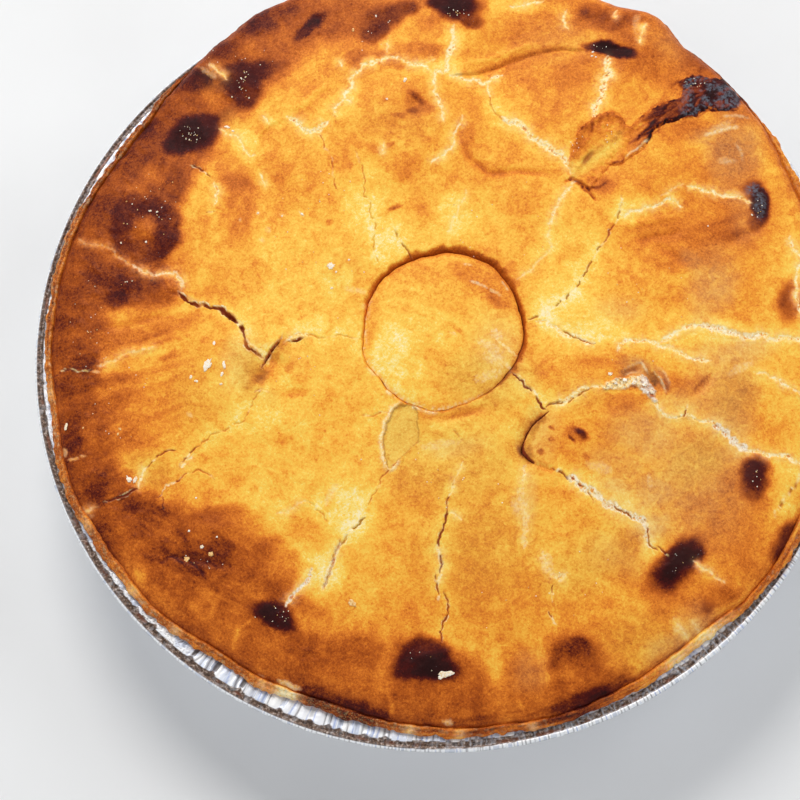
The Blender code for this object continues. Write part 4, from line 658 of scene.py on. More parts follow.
def crust(x, y, base):
    """Extra height in metres and the looks, at points of the crust whose plain height above the tin's rim is base."""
    px, py = seen_at(x, y, TIN_H + base)
    n = len(x)
    xm, ym = x / MM, y / MM
    deg = np.degrees(np.arctan2(y, x)) % 360.0
    share = np.hypot(x, y) / upper_radius(deg)

    # tone
    wx = px + 5.0 * noise(px, py, 26, 11, 2) + 2.2 * noise(px, py, 7, 12, 2)
    wy = py + 5.0 * noise(px, py, 26, 13, 2) + 2.2 * noise(px, py, 7, 14, 2)
    bx = px + 3.0 * noise(px, py, 26, 11, 2) + 1.8 * noise(px, py, 7, 12, 2)
    by = py + 3.0 * noise(px, py, 26, 13, 2) + 1.8 * noise(px, py, 7, 14, 2)
    tone = np.full(n, 0.42)
    tone = pull(tone, wx, wy, BROWNING, 5)
    edge = depth_in(wx, wy, GOLDEN, 46.0)
    margin = MARGIN_TONE(deg) + 0.035 * noise(px, py, 40, 15, 3)
    brown = ease((13.0 - edge) / 24.0)
    tone = tone + (np.maximum(margin, tone) - tone) * brown
    tone = np.maximum(tone, pull(tone.copy(), bx, by, BURNS, 5))
    for thing in [b for b in BURNS if b[5] < 0.84]:
        tone = pull(tone, bx, by, [thing], 5)
    tone = np.maximum(tone, pull(tone.copy(), bx, by, [b for b in BURNS if b[5] >= 0.95], 5))
    burnt = np.zeros(n)
    burnt = pull(burnt, bx, by, [b[:7] + (b[7],) for b in BURNS if b[7] > 0.0], 7)
    tone += 0.055 * noise(px, py, 34, 21, 3) + (0.055 * noise(px, py, 13, 22, 2) + 0.024 * noise(px + 3 * noise(px, py, 9, 29), py, 5.5, 28, 2)) * (1 - burnt)
    tone += 0.09 * ease((noise(px, py, 12, 27, 2) - 0.20) / 0.3) * ease((0.58 - tone) / 0.1)
    burnt = np.clip(burnt, 0, 1)
    arc = deg * 2.0
    streak = noise(arc, share * 14.0, 5.0, 23, 2) * ease((share - 0.62) / 0.2)
    tone += 0.060 * streak * (1 - 0.7 * burnt)
    for x0, y0, rx, ry, turn, add, soft in TOUCH:
        c, s = math.cos(math.radians(turn)), math.sin(math.radians(turn))
        u, v = ((wx - x0) * c + (wy - y0) * s) / rx, (-(wx - x0) * s + (wy - y0) * c) / ry
        tone += add * ease((1.0 + soft - np.hypot(u, v)) / (2.0 * soft)) * (1 - burnt)
    for i, (x0, y0, rx, ry, turn, long_, broad, strength) in enumerate(STREAKS):
        c, s = math.cos(math.radians(turn)), math.sin(math.radians(turn))
        u, v = (px - x0) * c + (py - y0) * s, -(px - x0) * s + (py - y0) * c
        w = ease((1.8 - np.hypot(u / rx, v / ry)) / 1.6)
        bent = v + 3.0 * noise(u, v, 40, 300 + i)
        runs = noise(u * broad / long_, bent, broad, 320 + i, 2) + 0.6 * noise(u * broad / long_, bent, broad * 2.6, 340 + i, 1)
        tone += strength * w * runs * (1 - 0.7 * burnt)

    # dullness
    tan, olive = np.zeros(n), np.zeros(n)
    for x0, y0, rx, ry, turn, which, strength in DULL:
        c, s = math.cos(math.radians(turn)), math.sin(math.radians(turn))
        u, v = ((wx - x0) * c + (wy - y0) * s) / rx, (-(wx - x0) * s + (wy - y0) * c) / ry
        w = strength * ease((1.7 - np.hypot(u, v)) / 1.4)
        if which == 1:
            tan = np.maximum(tan, w)
        else:
            olive = np.maximum(olive, w)

    # soft relief: puffs, dimples and fine wrinkles of baked dough
    h = 0.32 * noise(xm, ym, 17, 31, 2) + 0.13 * noise(xm, ym, 5.5, 32, 2) + 0.035 * noise(xm, ym, 1.7, 33, 2)
    wrinkle = np.abs(noise(xm + 2 * noise(xm, ym, 8, 35), ym, 3.6, 34, 2))
    h -= 0.05 * np.exp(-((wrinkle / 0.06) ** 2)) * ease(0.5 + 2 * noise(xm, ym, 22, 36))
    h *= ease((1.02 - share) / 0.10) * 0.7 + 0.3
    # blisters where it is burnt
    d, own = spots(px, py, 5.0, 41)
    h += burnt * 0.22 * ease((0.55 - d) / 0.4) * own
    d, own = spots(px, py, 11.0, 44)
    h += ease((tone - 0.78) / 0.15) * 0.25 * ease((0.45 - d) / 0.4) * (own > 0.6)
    blister = [(143, 228, 12, 10, 0.9), (122, 222, 12, 22, 0.5), (164, 238, 13, 13, 0.6), (430, 660, 22, 13, 0.9), (272, 614, 16, 8, 0.6),
               (675, 568, 12, 12, 0.8), (459, 8, 15, 9, 0.8), (194, 133, 15, 10, 0.7), (590, 700, 20, 7, 0.5), (242, 84, 11, 11, 0.6),
               (756, 474, 9, 14, 0.6), (577, 434, 7, 6, 0.35), (217, 528, 30, 10, 0.4), (568, 650, 16, 12, 0.4)]
    for x0, y0, rx, ry, up in blister:
        q = np.hypot((bx - x0) / rx, (by - y0) / ry)
        h += up * np.exp(-((q / 0.9) ** 2)) * 0.8
    # bumps along the left edge of the rolled-over crust
    for x0, y0, rx, ry, turn, up in [(270, 378, 24, 30, 0, -0.8), (416, 104, 15, 11, 0, -0.8), (196, 560, 30, 4, 10, -0.8), (610, 48, 22, 5, 8, -0.9),
                                     (168, 288, 12, 9, -35, 0.7), (640, 370, 18, 8, 12, -0.8), (703, 384, 14, 4, -48, -0.5), (445, 450, 40, 20, 0, -0.4),
                                     (330, 232, 10, 60, -8, 0.35), (385, 215, 8, 50, -12, -0.3), (296, 392, 9, 4, -12, -0.25), (237, 345, 10, 20, -15, 0.5)]:
        c, s = math.cos(math.radians(turn)), math.sin(math.radians(turn))
        u, v = ((px - x0) * c + (py - y0) * s) / rx, (-(px - x0) * s + (py - y0) * c) / ry
        h += up * np.exp(-(u * u + v * v))

    pale, dark, grey = np.zeros(n), np.zeros(n), np.zeros(n)
    fine = noise(px, py, 2.2, 51, 2)
    coarse = noise(px, py, 5.0, 52, 2)
    pores = noise(px, py, 1.7, 53, 1)

    # scab
    d = depth_in(px + 1.2 * fine, py + 1.2 * coarse, FLAKED, 10.0)
    under = ease((d + 0.4) / 0.9)
    h -= 0.55 * under
    h += 0.25 * np.exp(-((d + 2.2) / 1.8) ** 2) * (px < 404)
    tone += (0.36 - tone) * under
    olive = np.maximum(olive, 1.0 * under)
    tan = np.maximum(tan, 0.35 * under)
    lit = np.exp(-((d + 2.4) / 2.0) ** 2) * ease((402 - px) / 6) * (d < 0.4)
    pale = np.maximum(pale, 0.75 * lit * ease(0.9 + fine))
    rimline = np.exp(-((d / 0.9) ** 2))
    dark = np.maximum(dark, 0.35 * rimline)

    # crumbly flap and the hollow behind it
    d = depth_in(px + 1.5 * fine, py + 1.5 * coarse, FLAP, 12.0)
    flap = ease((d + 1.5) / 2.5)
    h += flap * (0.35 + 0.55 * np.abs(fine) + 0.3 * pores)
    pale = np.maximum(pale, flap * (0.85 + 0.35 * fine))
    grey = np.maximum(grey, flap * ease((px - 634) / 12) * 0.8)
    dark = np.maximum(dark, flap * 0.5 * ease((pores - 0.3) / 0.2))
    ring = np.hypot(px - 636, (py - 396) * 1.05)
    sector = ease((ring - 14) / 3) * ease((31 - ring) / 4) * ease((px - 640) / 5) * ease((396 - py) / 6) * ease((392 - py + (px - 640) * 0.4) / 5) * (1 - flap)
    stripes = np.sin(ring * 2.1 + 1.5 * coarse)
    h -= sector * (0.30 - 0.05 * stripes)
    # a shallow pit in the hollow, a little darker as painted shade
    pit = np.exp(-(((px - 634) * 0.94 + (py - 369) * -0.34) / 11) ** 2 - (((px - 634) * 0.34 + (py - 369) * 0.94) / 5) ** 2) * (1 - flap)
    tone += 0.03 * pit
    h -= 0.3 * pit

    for i, (kind, width, line, more) in enumerate(LINES):
        deep = more.get("depth", {"p": 0.14, "d": 1.0, "t": 0.3, "c": 0.4, "v": 0.4, "r": 0.3}[kind])
        halo = more.get("halo", 0.10)
        side_of, drop, reach_of = more.get("low", (0, 0.0, 1.0))
        reach = max(30.0, width * 2.5, reach_of * 2.6 if drop else 0)
        near, away, along, run, side = follow(px, py, line, reach)
        ends = np.minimum(along, run - along)
        taper = np.sqrt(ease(np.minimum(1.0, (ends + 0.8) / min(7.0, 0.35 * run))))
        own = np.full(len(along), i * 9.7)
        hn = np.zeros(len(near))
        if drop:
            foot = ease((ends + 1.0) / min(16.0, 0.4 * run))
            drop *= 0.45 if kind == "p" else 1.0
            hn += np.where(side == side_of, -drop * 0.75, drop * 0.25) * np.exp(-away / reach_of) * foot
        # valleys and ridges: besides the relief, tone paints shade along a valley and light along a ridge
        if kind in "vr":
            bell = np.exp(-((away / (0.5 * width)) ** 2)) * ease((ends + 2) / (0.3 * run))
            hn += bell * deep * (-1 if kind == "v" else 1)
            tone[near] += bell * more.get("tone", 0.0) * (1.0 if kind == "v" else 1.7)
            h[near] += hn
            continue
        weak = more.get("weak", 1.0)
        glow = np.exp(-((away / 10.0) ** 2)) * (1 + 0.8 * noise(px[near], py[near], 14, 63, 2))
        tone[near] -= halo * 0.95 * glow * taper * ease((0.98 - tone[near]) / 0.2)
        hn -= (0.08 if kind == "p" else 0.16) * np.exp(-away / 6.0) * taper * min(1.0, width / 3)
        ragged = away + 0.75 * fine[near] + 0.3 * pores[near]
        if kind == "p":
            half = 0.5 * width * taper * (1.0 + 0.55 * noise(along, own, 5.0, 61, 2))
            band = ease((half + 1.0 - ragged) / 2.3)
            hn -= band * (0.55 * deep + 0.10 * fine[near]) * weak
            hn += 0.07 * np.exp(-(((away - half - 1.6) / 1.6) ** 2)) * taper
            pale[near] = np.maximum(pale[near], band * weak * (0.86 + 0.22 * coarse[near]))
            glow = np.exp(-((away / (half + 3.4)) ** 2)) * taper * weak * np.clip(0.9 + 1.1 * noise(px[near], py[near], 8, 65, 2), 0, 2)
            tone[near] += (np.minimum(tone[near], 0.31) - tone[near]) * np.clip(0.62 * glow + 0.35 * band * weak, 0, 0.9)
            pale[near] = np.maximum(pale[near], 0.20 * glow)
            pit = ease((0.7 * half - away) / 0.9) * ease((pores[near] + 0.5 * coarse[near] - 0.42) / 0.2) * min(1.0, width / 3.2)
            pale[near] *= 1 - 0.85 * pit * weak
            tone[near] += 0.34 * pit * weak
            tone[near] += 0.04 * np.exp(-(((away - half - 1.6) / 1.3) ** 2)) * taper * weak * np.clip(1 + 1.4 * noise(px[near], py[near], 9, 66, 2), 0, 2)
            hn -= 0.12 * pit
            if more.get("grey"):
                grey[near] = np.maximum(grey[near], band * 0.7 * more["grey"])
        else:
            # an open split: narrow and broken, brown inside, with torn cream lips of uneven width
            scale = {"d": 0.36, "c": 0.16, "t": 0.38}[kind]
            half = scale * width * taper * np.clip(1.0 + 0.75 * noise(along, own, 6.0, 61, 2), 0.15, 2.0)
            bridged = ease((noise(along, own + 3.3, 9.0 if width > 1.7 else 6.0, 62, 1) + (0.75 if width > 1.7 else 0.45)) / 0.35)
            gap = (away + 0.30 * fine[near] - half) / 0.8
            open_ = ease(0.75 - gap) * bridged
            wall = np.clip(1.0 - away / (half + 0.8), 0, 1) ** 0.7
            hn -= min(deep, 0.20 * width + 0.15) * wall * bridged * taper * {"d": 1.0, "c": 1.0, "t": 0.5}[kind]
            pale_side = more.get("pale_side", 0)
            lips = np.where(side == pale_side, 1.0, 0.45) if pale_side else np.full(len(near), 0.7)
            broad = (0.7 + 0.34 * width) * np.clip(0.8 + 1.0 * noise(along, own + side * 2.7, 6.5, 64, 2), 0.1, 2.0) * (0.5 + 0.5 * lips)
            band = ease((half + broad - ragged) / 1.1) * (1 - open_) * {"d": 1.0, "c": 0.5, "t": 0.42}[kind]
            pale[near] = np.maximum(pale[near], band * lips * (0.85 + 0.3 * coarse[near]) * weak * taper)
            pale[near] *= 1 - open_
            hn += 0.08 * np.exp(-(((away - half - 1.3) / 1.2) ** 2)) * taper
            dark[near] = np.maximum(dark[near], open_ * more.get("ink", {"d": 0.92 if width > 1.9 else 0.62, "c": 0.9, "t": 0.22}[kind]))
            tone[near] += open_ * 0.22
            # an overlapping edge: a painted shadow, darker tone and olive, on its low side, and a thin dark line along
            # the edge
            if kind == "c":
                wide = more.get("shade", 3.6)
                shade = np.where(side == side_of, np.exp(-((away / wide) ** 1.5)), np.exp(-away / 0.8)) * foot
                tone[near] += more.get("shadow_tone", 0.34) * shade * (0.9 + 0.3 * coarse[near])
                olive[near] = np.maximum(olive[near], np.where(side == side_of, np.exp(-away / (2 * wide)), 0.0) * foot)
        h[near] += hn

    # boiled-out filling, baked on: a glassy loop on the left, a ropy burnt tail on the right
    d = depth_in(px + 2.4 * coarse, py + 2.0 * fine, JUICE, 16.0)
    juice = ease((d + 0.8) / 2.2)
    tail = ease((px - 618) / 40)
    bubbles, own = spots(px, py, 6.5, 71)
    uf, vf = px * 0.82 - py * 0.57, px * 0.57 + py * 0.82
    ropes = noise(uf / 2.6, vf + 3 * noise(px, py, 9, 74), 3.4, 72, 2)
    h += juice * (0.30 + 0.40 * ease((0.6 - bubbles) / 0.5) * own * (1 - tail) + 0.45 * tail * np.abs(ropes) + 0.2 * tail)
    bead = np.exp(-(((d - 2.6) / 2.4) ** 2))
    h += 0.40 * bead * (1 - tail) * ease((150 - py) / 14)
    upper = ease((152 - py) / 16)
    core = np.exp(-(((px - 597) * 0.57 + (py - 156) * 0.82) / 8) ** 2) * ease((628 - px) / 14)
    level = 0.62 + 0.06 * coarse + 0.12 * ease((2.4 - d) / 2.0) * upper - 0.26 * core
    level += 0.07 * np.exp(-(((px - 612) / 17) ** 2 + ((py - 119) / 7) ** 2)) + 0.06 * np.exp(-(((px - 577) / 8) ** 2 + ((py - 143) / 16) ** 2))
    level -= 0.08 * np.exp(-(((px - 610) / 8) ** 2 + ((py - 125) / 5) ** 2))
    burning = 0.86 + 0.10 * ease((px - 638) / 18) + 0.14 * ease((px - 668) / 30) + 0.20 * ropes - 0.08 * ease((1.8 - np.abs(d)) / 1.8) * ease((690 - px) / 20)
    level = level + (burning - level) * tail
    tone += (level - tone) * juice
    olive = np.maximum(olive * (1 - juice), juice * core * 0.9)
    tan *= 1 - juice
    burnt = np.maximum(burnt * (1 - juice), juice * ease((px - 655) / 24) * ease(0.6 + 1.2 * ropes) * 0.9)
    # blue-grey painted glints on the burnt tail and a few dark spots
    ash = juice * ease((px - 676) / 10) * ease((0.9 * noise(px, py, 9, 75, 2) + 0.5 * coarse + 0.10 * (px > 700) - 0.02) / 0.25)
    for sx, sy, rx, ry in [(704, 100, 4, 3), (688, 98, 5, 12), (728, 102, 12, 4), (726, 88, 12, 4), (709, 88, 3, 5), (760, 204, 5, 12), (752, 190, 6, 6)]:
        ash = np.maximum(ash, ease((1.5 - np.hypot((px - sx) / rx, (py - sy) / ry) + 0.5 * fine) / 0.8))
    pale = pale * (1 - 0.9 * juice)
    grey = grey * (1 - juice)
    dark = np.maximum(dark * (1 - juice), juice * tail * (0.25 + 0.25 * ease((px - 664) / 30)) * ease((-ropes - 0.25) / 0.2))
    near = np.exp(-(((px - 588) * 0.62 - (py - 158) * 0.78) / 8) ** 2 - (((px - 588) * 0.78 + (py - 158) * 0.62) / 2.6) ** 2)
    dark = np.maximum(dark, 0.62 * ease(near * 1.6))
    h -= 0.8 * near
    shores = [(8, 1.2, 0.75, 0.5, [(566, 181), (573, 178), (580, 182), (587, 187), (595, 199)]),
              (9, 0.5, 0.4, 0.2, [(647, 143), (639, 152), (630, 157), (622, 164), (609, 165), (602, 174)]),
              (10, 0.9, 0.8, 0.3, [(735, 110), (725, 110), (708, 108), (695, 116), (687, 115), (679, 119), (665, 122), (657, 127), (650, 136), (647, 143)])]
    for seed, wide, strong, down, points in shores:
        near, away, *_ = follow(px, py, torn(points, seed, 0.12), 7.0)
        cut = ease((wide + 0.6 - away - 0.4 * fine[near]) / 1.0)
        tone[near] += 0.3 * strong * cut
        h[near] -= down * cut

    for i, (width, line, more) in enumerate(PAINTED):
        near, away, along, run, _ = follow(px, py, line, width * 0.8 + 4.0)
        ends = np.minimum(along, run - along)
        half = 0.5 * width * np.clip(1 + 0.5 * noise(along, along * 0 + 7.7 * i, 5.0, 67, 2), 0.3, 2)
        soft = 0.8 + 0.22 * width
        w = ease((half + soft - away - 0.35 * fine[near]) / (2 * soft)) * np.sqrt(ease((ends + 1.0) / min(5.0, 0.4 * run)))
        tone[near] += more.get("tone", 0.0) * w
        h[near] += more.get("h", 0.0) * w
        if more.get("pale", 0.0) > 0:
            pale[near] = np.maximum(pale[near], more["pale"] * w)
        elif "pale" in more:
            pale[near] *= 1 - w
        for key, value in (("tan", tan), ("olive", olive)):
            if key in more:
                value[near] = np.maximum(value[near], more[key] * w)

    # pale patches: scuffed glaze, and near the right edge painted sheen
    scuffs_and_sheen = [(208, 72, 12, 3, 35, 0.35), (636, 24, 4, 12, 10, 0.25), (520, 505, 9, 14, 5, 0.40), (546, 562, 7, 12, -15, 0.45),
              (332, 492, 5, 10, 15, 0.45), (600, 468, 14, 6, 10, 0.3), (650, 482, 3, 8, -15, 0.4), (720, 128, 14, 5, -25, 0.3),
              (725, 160, 8, 4, 0, 0.2), (742, 368, 16, 5, -25, 0.45), (680, 630, 8, 5, 45, 0.4), (485, 350, 10, 8, 30, 0.35),
              (500, 362, 20, 3, 40, 0.45), (64, 452, 2.4, 5, -10, 0.5), (72, 459, 6, 1.6, -10, 0.5), (83, 456, 4, 1.5, 10, 0.4),
              (96, 372, 5, 2, 0, 0.4), (80, 508, 6, 3, 30, 0.25), (87, 516, 5, 3, 0, 0.2), (262, 355, 8, 5, 40, 0.5), (245, 332, 7, 5, 10, 0.5),
              (285, 687, 13, 5, 14, 1.0), (240, 668, 10, 3, 25, 0.5), (258, 676, 10, 3, 25, 0.5), (448, 722, 6, 4, 0, 0.5), (440, 444, 20, 5, -8, 0.35),
              (366, 306, 6, 3, 0, 0.25), (355, 290, 12, 3, 15, 0.35), (270, 345, 10, 3, -10, 0.25), (262, 240, 3, 2, 0, 0.5), (302, 214, 4, 1.5, 40, 0.7),
              (258, 213, 2, 1.6, 0, 0.6), (282, 215, 3, 2, 0, 0.4), (190, 415, 3, 2, 45, 0.5), (240, 220, 2, 1.5, 0, 0.5), (268, 230, 3, 3, 0, 0.4)]
    for sx, sy, rx, ry, turn, strength in scuffs_and_sheen:
        c, s = math.cos(math.radians(turn)), math.sin(math.radians(turn))
        u, v = ((px - sx) * c + (py - sy) * s) / rx, (-(px - sx) * s + (py - sy) * c) / ry
        q = np.hypot(u, v) + 0.35 * coarse + 0.25 * fine
        cover = strength * ease((1.15 - q) / 0.6) * (0.8 + 0.3 * fine)
        tone += (np.minimum(tone, 0.42) - tone) * np.clip(1.1 * cover, 0, 0.85)
        pale = np.maximum(pale, 0.8 * cover)

    looks = dict(tone=tone, burnt=burnt, tan=np.clip(tan, 0, 1), olive=np.clip(olive, 0, 1),
                 pale=np.clip(pale, 0, 1), dark=np.clip(dark, 0, 1), grey=np.clip(grey, 0, 1), ash=np.clip(ash, 0, 1),
                 crumb=0.12 * ease((share - 0.72) / 0.12) * ease(np.cos(np.radians(deg - 218)) * 2.2 - 0.9))
    return h * MM, looks


# ------------------------------------------------------------------ mesh helpers
def ladder(upper, lower):
    """Faces between two closed rings of vertex numbers; the second may have half as many."""
    m, n = len(upper), len(lower)
    if m == n:
        a, b = upper, np.roll(upper, -1)
        c, d = np.roll(lower, -1), lower
        return np.stack((a, b, c, d), 1), np.zeros((0, 3), int)
    assert m == 2 * n
    a0, a1, a2 = upper[0::2], upper[1::2], np.roll(upper, -2)[0::2]
    b0, b1 = lower, np.roll(lower, -1)
    tris = np.concatenate((np.stack((a0, a1, b0), 1), np.stack((a1, b1, b0), 1), np.stack((a1, a2, b1), 1)))
    return np.zeros((0, 4), int), tris


def build(name, points, quads, tris, looks, uv=None):
    """A smooth mesh piece from vertex places, faces and one number per vertex for each look."""
    mesh = bpy.data.meshes.new(name)
    nq, nt = len(quads), len(tris)
    mesh.vertices.add(len(points))
    mesh.vertices.foreach_set("co", np.asarray(points, np.float32).ravel())
    loops = np.concatenate((np.asarray(quads, np.int32).ravel(), np.asarray(tris, np.int32).ravel()))
    mesh.loops.add(len(loops))
    mesh.loops.foreach_set("vertex_index", loops.astype(np.int32))
    mesh.polygons.add(nq + nt)
    starts = np.concatenate((np.arange(nq) * 4, nq * 4 + np.arange(nt) * 3)).astype(np.int32)
    mesh.polygons.foreach_set("loop_start", starts)
    mesh.polygons.foreach_set("use_smooth", np.ones(nq + nt, bool))
    mesh.update(calc_edges=True)
    for key, values in looks.items():
        layer = mesh.attributes.new(key, "FLOAT", "POINT")
        layer.data.foreach_set("value", np.asarray(values, np.float32))
    mesh.validate()
    piece = bpy.data.objects.new(name, mesh)
    bpy.context.scene.collection.objects.link(piece)
    return piece


class Rings:
    """Collects closed rings of points, each with as many points as the last one, half or double, and the faces between them."""

    def __init__(self):
        self.points, self.quads, self.tris, self.looks = [], [], [], {}
        self.count, self.last = 0, None

    def add(self, points, **looks):
        ids = np.arange(self.count, self.count + len(points))
        self.points.append(points)
        for key in set(self.looks) | set(looks):
            have = self.looks.setdefault(key, [np.zeros(self.count)] if self.count else [])
            have.append(np.broadcast_to(looks.get(key, 0.0), (len(points),)).astype(float))
        self.count += len(points)
        if self.last is not None:
            self.join(self.last, ids)
        self.last = ids
        return ids

    def join(self, a, b):
        if len(a) >= len(b):
            q, t = ladder(a, b)
        else:
            q, t = ladder(b, a)
            q, t = q[:, ::-1], t[:, ::-1]
        self.quads.append(q)
        self.tris.append(t)

    def close(self, point, up=False, **looks):
        """Closes the last ring with a fan to a point."""
        ring = self.last
        ids = np.array([self.count])
        self.points.append(np.array([point]))
        for key, have in self.looks.items():
            have.append(np.array([float(looks.get(key, 0.0))]))
        self.count += 1
        t = np.stack((ring, np.roll(ring, -1), np.full(len(ring), ids[0])), 1)
        self.tris.append(t)
        return ids

    def piece(self, name, turned=False):
        points = np.concatenate(self.points)
        quads = np.concatenate(self.quads) if self.quads else np.zeros((0, 4), int)
        tris = np.concatenate(self.tris) if self.tris else np.zeros((0, 3), int)
        looks = {k: np.concatenate(v) for k, v in self.looks.items()}
        if turned:
            quads, tris = quads[:, ::-1], tris[:, ::-1]
        return build(name, points, quads, tris, looks)


def ring_xyz(radius, z, columns):
    t = 2 * math.pi * np.arange(columns) / columns
    r = np.broadcast_to(radius, (columns,))
    return np.stack((r * np.cos(t), r * np.sin(t), np.broadcast_to(z, (columns,))), 1)


# ------------------------------------------------------------------ the crust's mesh: fine at its splits, coarser elsewhere
AROUND, OUTWARD, FINEST = 96, 24, 5
STOP_SHARE = 0.94  # of the upper crust's radius; its rolled edge is built in rings beyond


def lie(u, v):
    """From a place in the mesh's own layout, 0 to 1 around and 0 to 1 outwards, to x and y."""
    deg = 360.0 * u
    r0, r1 = pocket_radius(deg), STOP_SHARE * upper_radius(deg)
    r = r0 ** (1 - v) * r1**v
    return r * np.cos(np.radians(deg)), r * np.sin(np.radians(deg)), r


def split_nearness():
    """How near each place of a coarse picture grid is to something that needs a fine mesh."""
    step = 2.0
    gx, gy = np.meshgrid(np.arange(20, 880, step), np.arange(-60, 760, step), indexing="ij")
    fx, fy = gx.ravel(), gy.ravel()
    far = np.full(len(fx), 60.0)
    for kind, width, line, more in LINES:
        if kind in "vr":
            continue
        near, away, *_ = follow(fx, fy, line, 30.0)
        far[near] = np.minimum(far[near], away - width * 0.5)
    for outline in (FLAKED, FLAP):
        near, away, *_ = follow(fx, fy, np.vstack((outline, outline[:1])), 30.0)
        far[near] = np.minimum(far[near], away)
    far = np.minimum(far, np.where(inside(fx, fy, FLAP), 0.0, 60.0))
    juicy = depth_in(fx, fy, JUICE, 10.0)
    far = np.minimum(far, np.where(juicy > -2, 4.0, 60.0))
    return far.reshape(gx.shape), step


def crust_mesh():
    nearness, step = split_nearness()
    want = []
    for level in range(FINEST):
        nu, nv = AROUND << level, OUTWARD << level
        u, v = np.meshgrid((np.arange(nu) + 0.5) / nu, (np.arange(nv) + 0.5) / nv, indexing="ij")
        x, y, r = lie(u, v)
        px, py = seen_at(x, y, TIN_H + crust_height(x, y))
        i = np.clip(((px - 20) / step).astype(int), 0, nearness.shape[0] - 1)
        j = np.clip(((py + 60) / step).astype(int), 0, nearness.shape[1] - 1)
        size = 2 * math.pi * r / nu / MM
        near = nearness[i, j] - size / 0.3
        target = np.where(near < 3.0, 0.30, np.where(near < 7.0, 0.52, 0.80))
        need = size > target
        if level < 4:
            need[:, -1] = True
        if level < 3:
            need[:, 0] = True
        want.append(need)
    want[4][:, -2:] = False
    want[3][:, :2] = False
    want[4][:, :4] = False
    for level in range(FINEST - 2, -1, -1):  # a split cell's neighbours are at most one step coarser
        finer = want[level + 1]
        grown = finer | np.roll(finer, 1, 0) | np.roll(finer, -1, 0)
        grown[:, 1:] |= finer[:, :-1]
        grown[:, :-1] |= finer[:, 1:]
        grown |= np.roll(grown, 1, 0) | np.roll(grown, -1, 0)
        want[level] |= grown.reshape(grown.shape[0] // 2, 2, grown.shape[1] // 2, 2).any((1, 3))
    here = np.ones((AROUND, OUTWARD), bool)
    cells = []
    for level in range(FINEST + 1):
        divided = want[level] & here if level < FINEST else np.zeros_like(here)
        i, j = np.nonzero(here & ~divided)
        size = 1 << (FINEST - level)
        cells.append(np.stack((i * size, j * size, np.full(len(i), size)), 1))
        if level < FINEST:
            here = np.repeat(np.repeat(divided, 2, 0), 2, 1)
    cells = np.concatenate(cells)
    across, high = AROUND << FINEST, OUTWARD << FINEST
    key = lambda i, j: (i % across) * (high + 1) + j
    i, j, s = cells.T
    corners = np.stack((key(i, j), key(i + s, j), key(i + s, j + s), key(i, j + s)), 1)
    known = np.unique(corners)
    half = s // 2
    mids = np.stack((key(i + half, j), key(i + s, j + half), key(i + half, j + s), key(i, j + half)), 1)
    at = np.searchsorted(known, mids)
    at = np.minimum(at, len(known) - 1)
    has = (known[at] == mids) & (s > 1)[:, None]
    where = lambda k: np.searchsorted(known, k)
    quads = where(corners[~has.any(1)])
    busy = np.flatnonzero(has.any(1))
    centre = len(known) + np.arange(len(busy))
    tris = []
    for e in range(4):
        a, b = corners[busy, e], corners[busy, (e + 1) % 4]
        m, h = mids[busy, e], has[busy, e]
        tris.append(np.stack((where(a[h]), where(m[h]), centre[h]), 1))
        tris.append(np.stack((where(m[h]), where(b[h]), centre[h]), 1))
        tris.append(np.stack((where(a[~h]), where(b[~h]), centre[~h]), 1))
    tris = np.concatenate(tris)
    ku, kv = known // (high + 1), known % (high + 1)
    cu, cv = i[busy] + half[busy], j[busy] + half[busy]
    u = np.concatenate((ku, cu)) / across
    v = np.concatenate((kv, cv)) / high
    outer = where(key(np.arange(0, across, 2), np.full(across // 2, high)))
    inner = where(key(np.arange(0, across, 4), np.zeros(across // 4, int)))
    return u, v, quads, tris, outer, inner


def shade_list(n, **given):
    base = {k: np.zeros(n) for k in ("tone", "burnt", "tan", "olive", "pale", "dark", "grey", "crumb", "ash")}
    base.update({k: np.broadcast_to(v, (n,)).astype(float) for k, v in given.items()})
    return base


# how far the baked edge shrank from its plain outline, in mm, by direction
trim_at = by_direction([(170, -0.4), (176, -0.1), (190, 0.1), (200, 0.0), (203.5, -0.1), (207, 0.6), (214, 0.5), (220, 0.2), (227, 0.0), (233, 0.3), (237, 0.1), (240.5, -0.2), (246, 0.5),
                        (254, 0.7), (262, 0.0), (270, 0.1), (280, 0.3), (290, 0.7), (299, 0.2), (306, 0.4), (311, 0.6), (317, -0.3), (323, -0.6), (332, 0.0)])


def edge_form(deg):
    """The two crusts' edges with their small unevenness: radius of the upper one, radius of the lower one."""
    t = np.radians(deg)
    x, y = 120 * np.cos(t), 120 * np.sin(t)
    hidden = ease((height_at(deg) - 5.0) / 2.0)
    up = upper_radius(deg) + (0.35 * noise(x, y, 14, 81, 2) + 0.24 * noise(x, y, 4, 82, 2) + 0.10 * noise(x, y, 1.7, 79, 1)) * MM
    up = up - trim_at(deg) * MM
    low = edge_radius(deg) - trim_at(deg) * MM + (0.50 * noise(x, y, 9, 83, 2) + 0.60 * noise(x, y, 2.8, 84, 2) + 0.30 * noise(x, y, 1.2, 80, 1)) * MM * (1 - 0.5 * hidden)
    low = low + 0.6 * MM * np.exp(-(((deg - 306) / 5.0) ** 2))
    return up, np.maximum(low, up + 0.5 * MM)


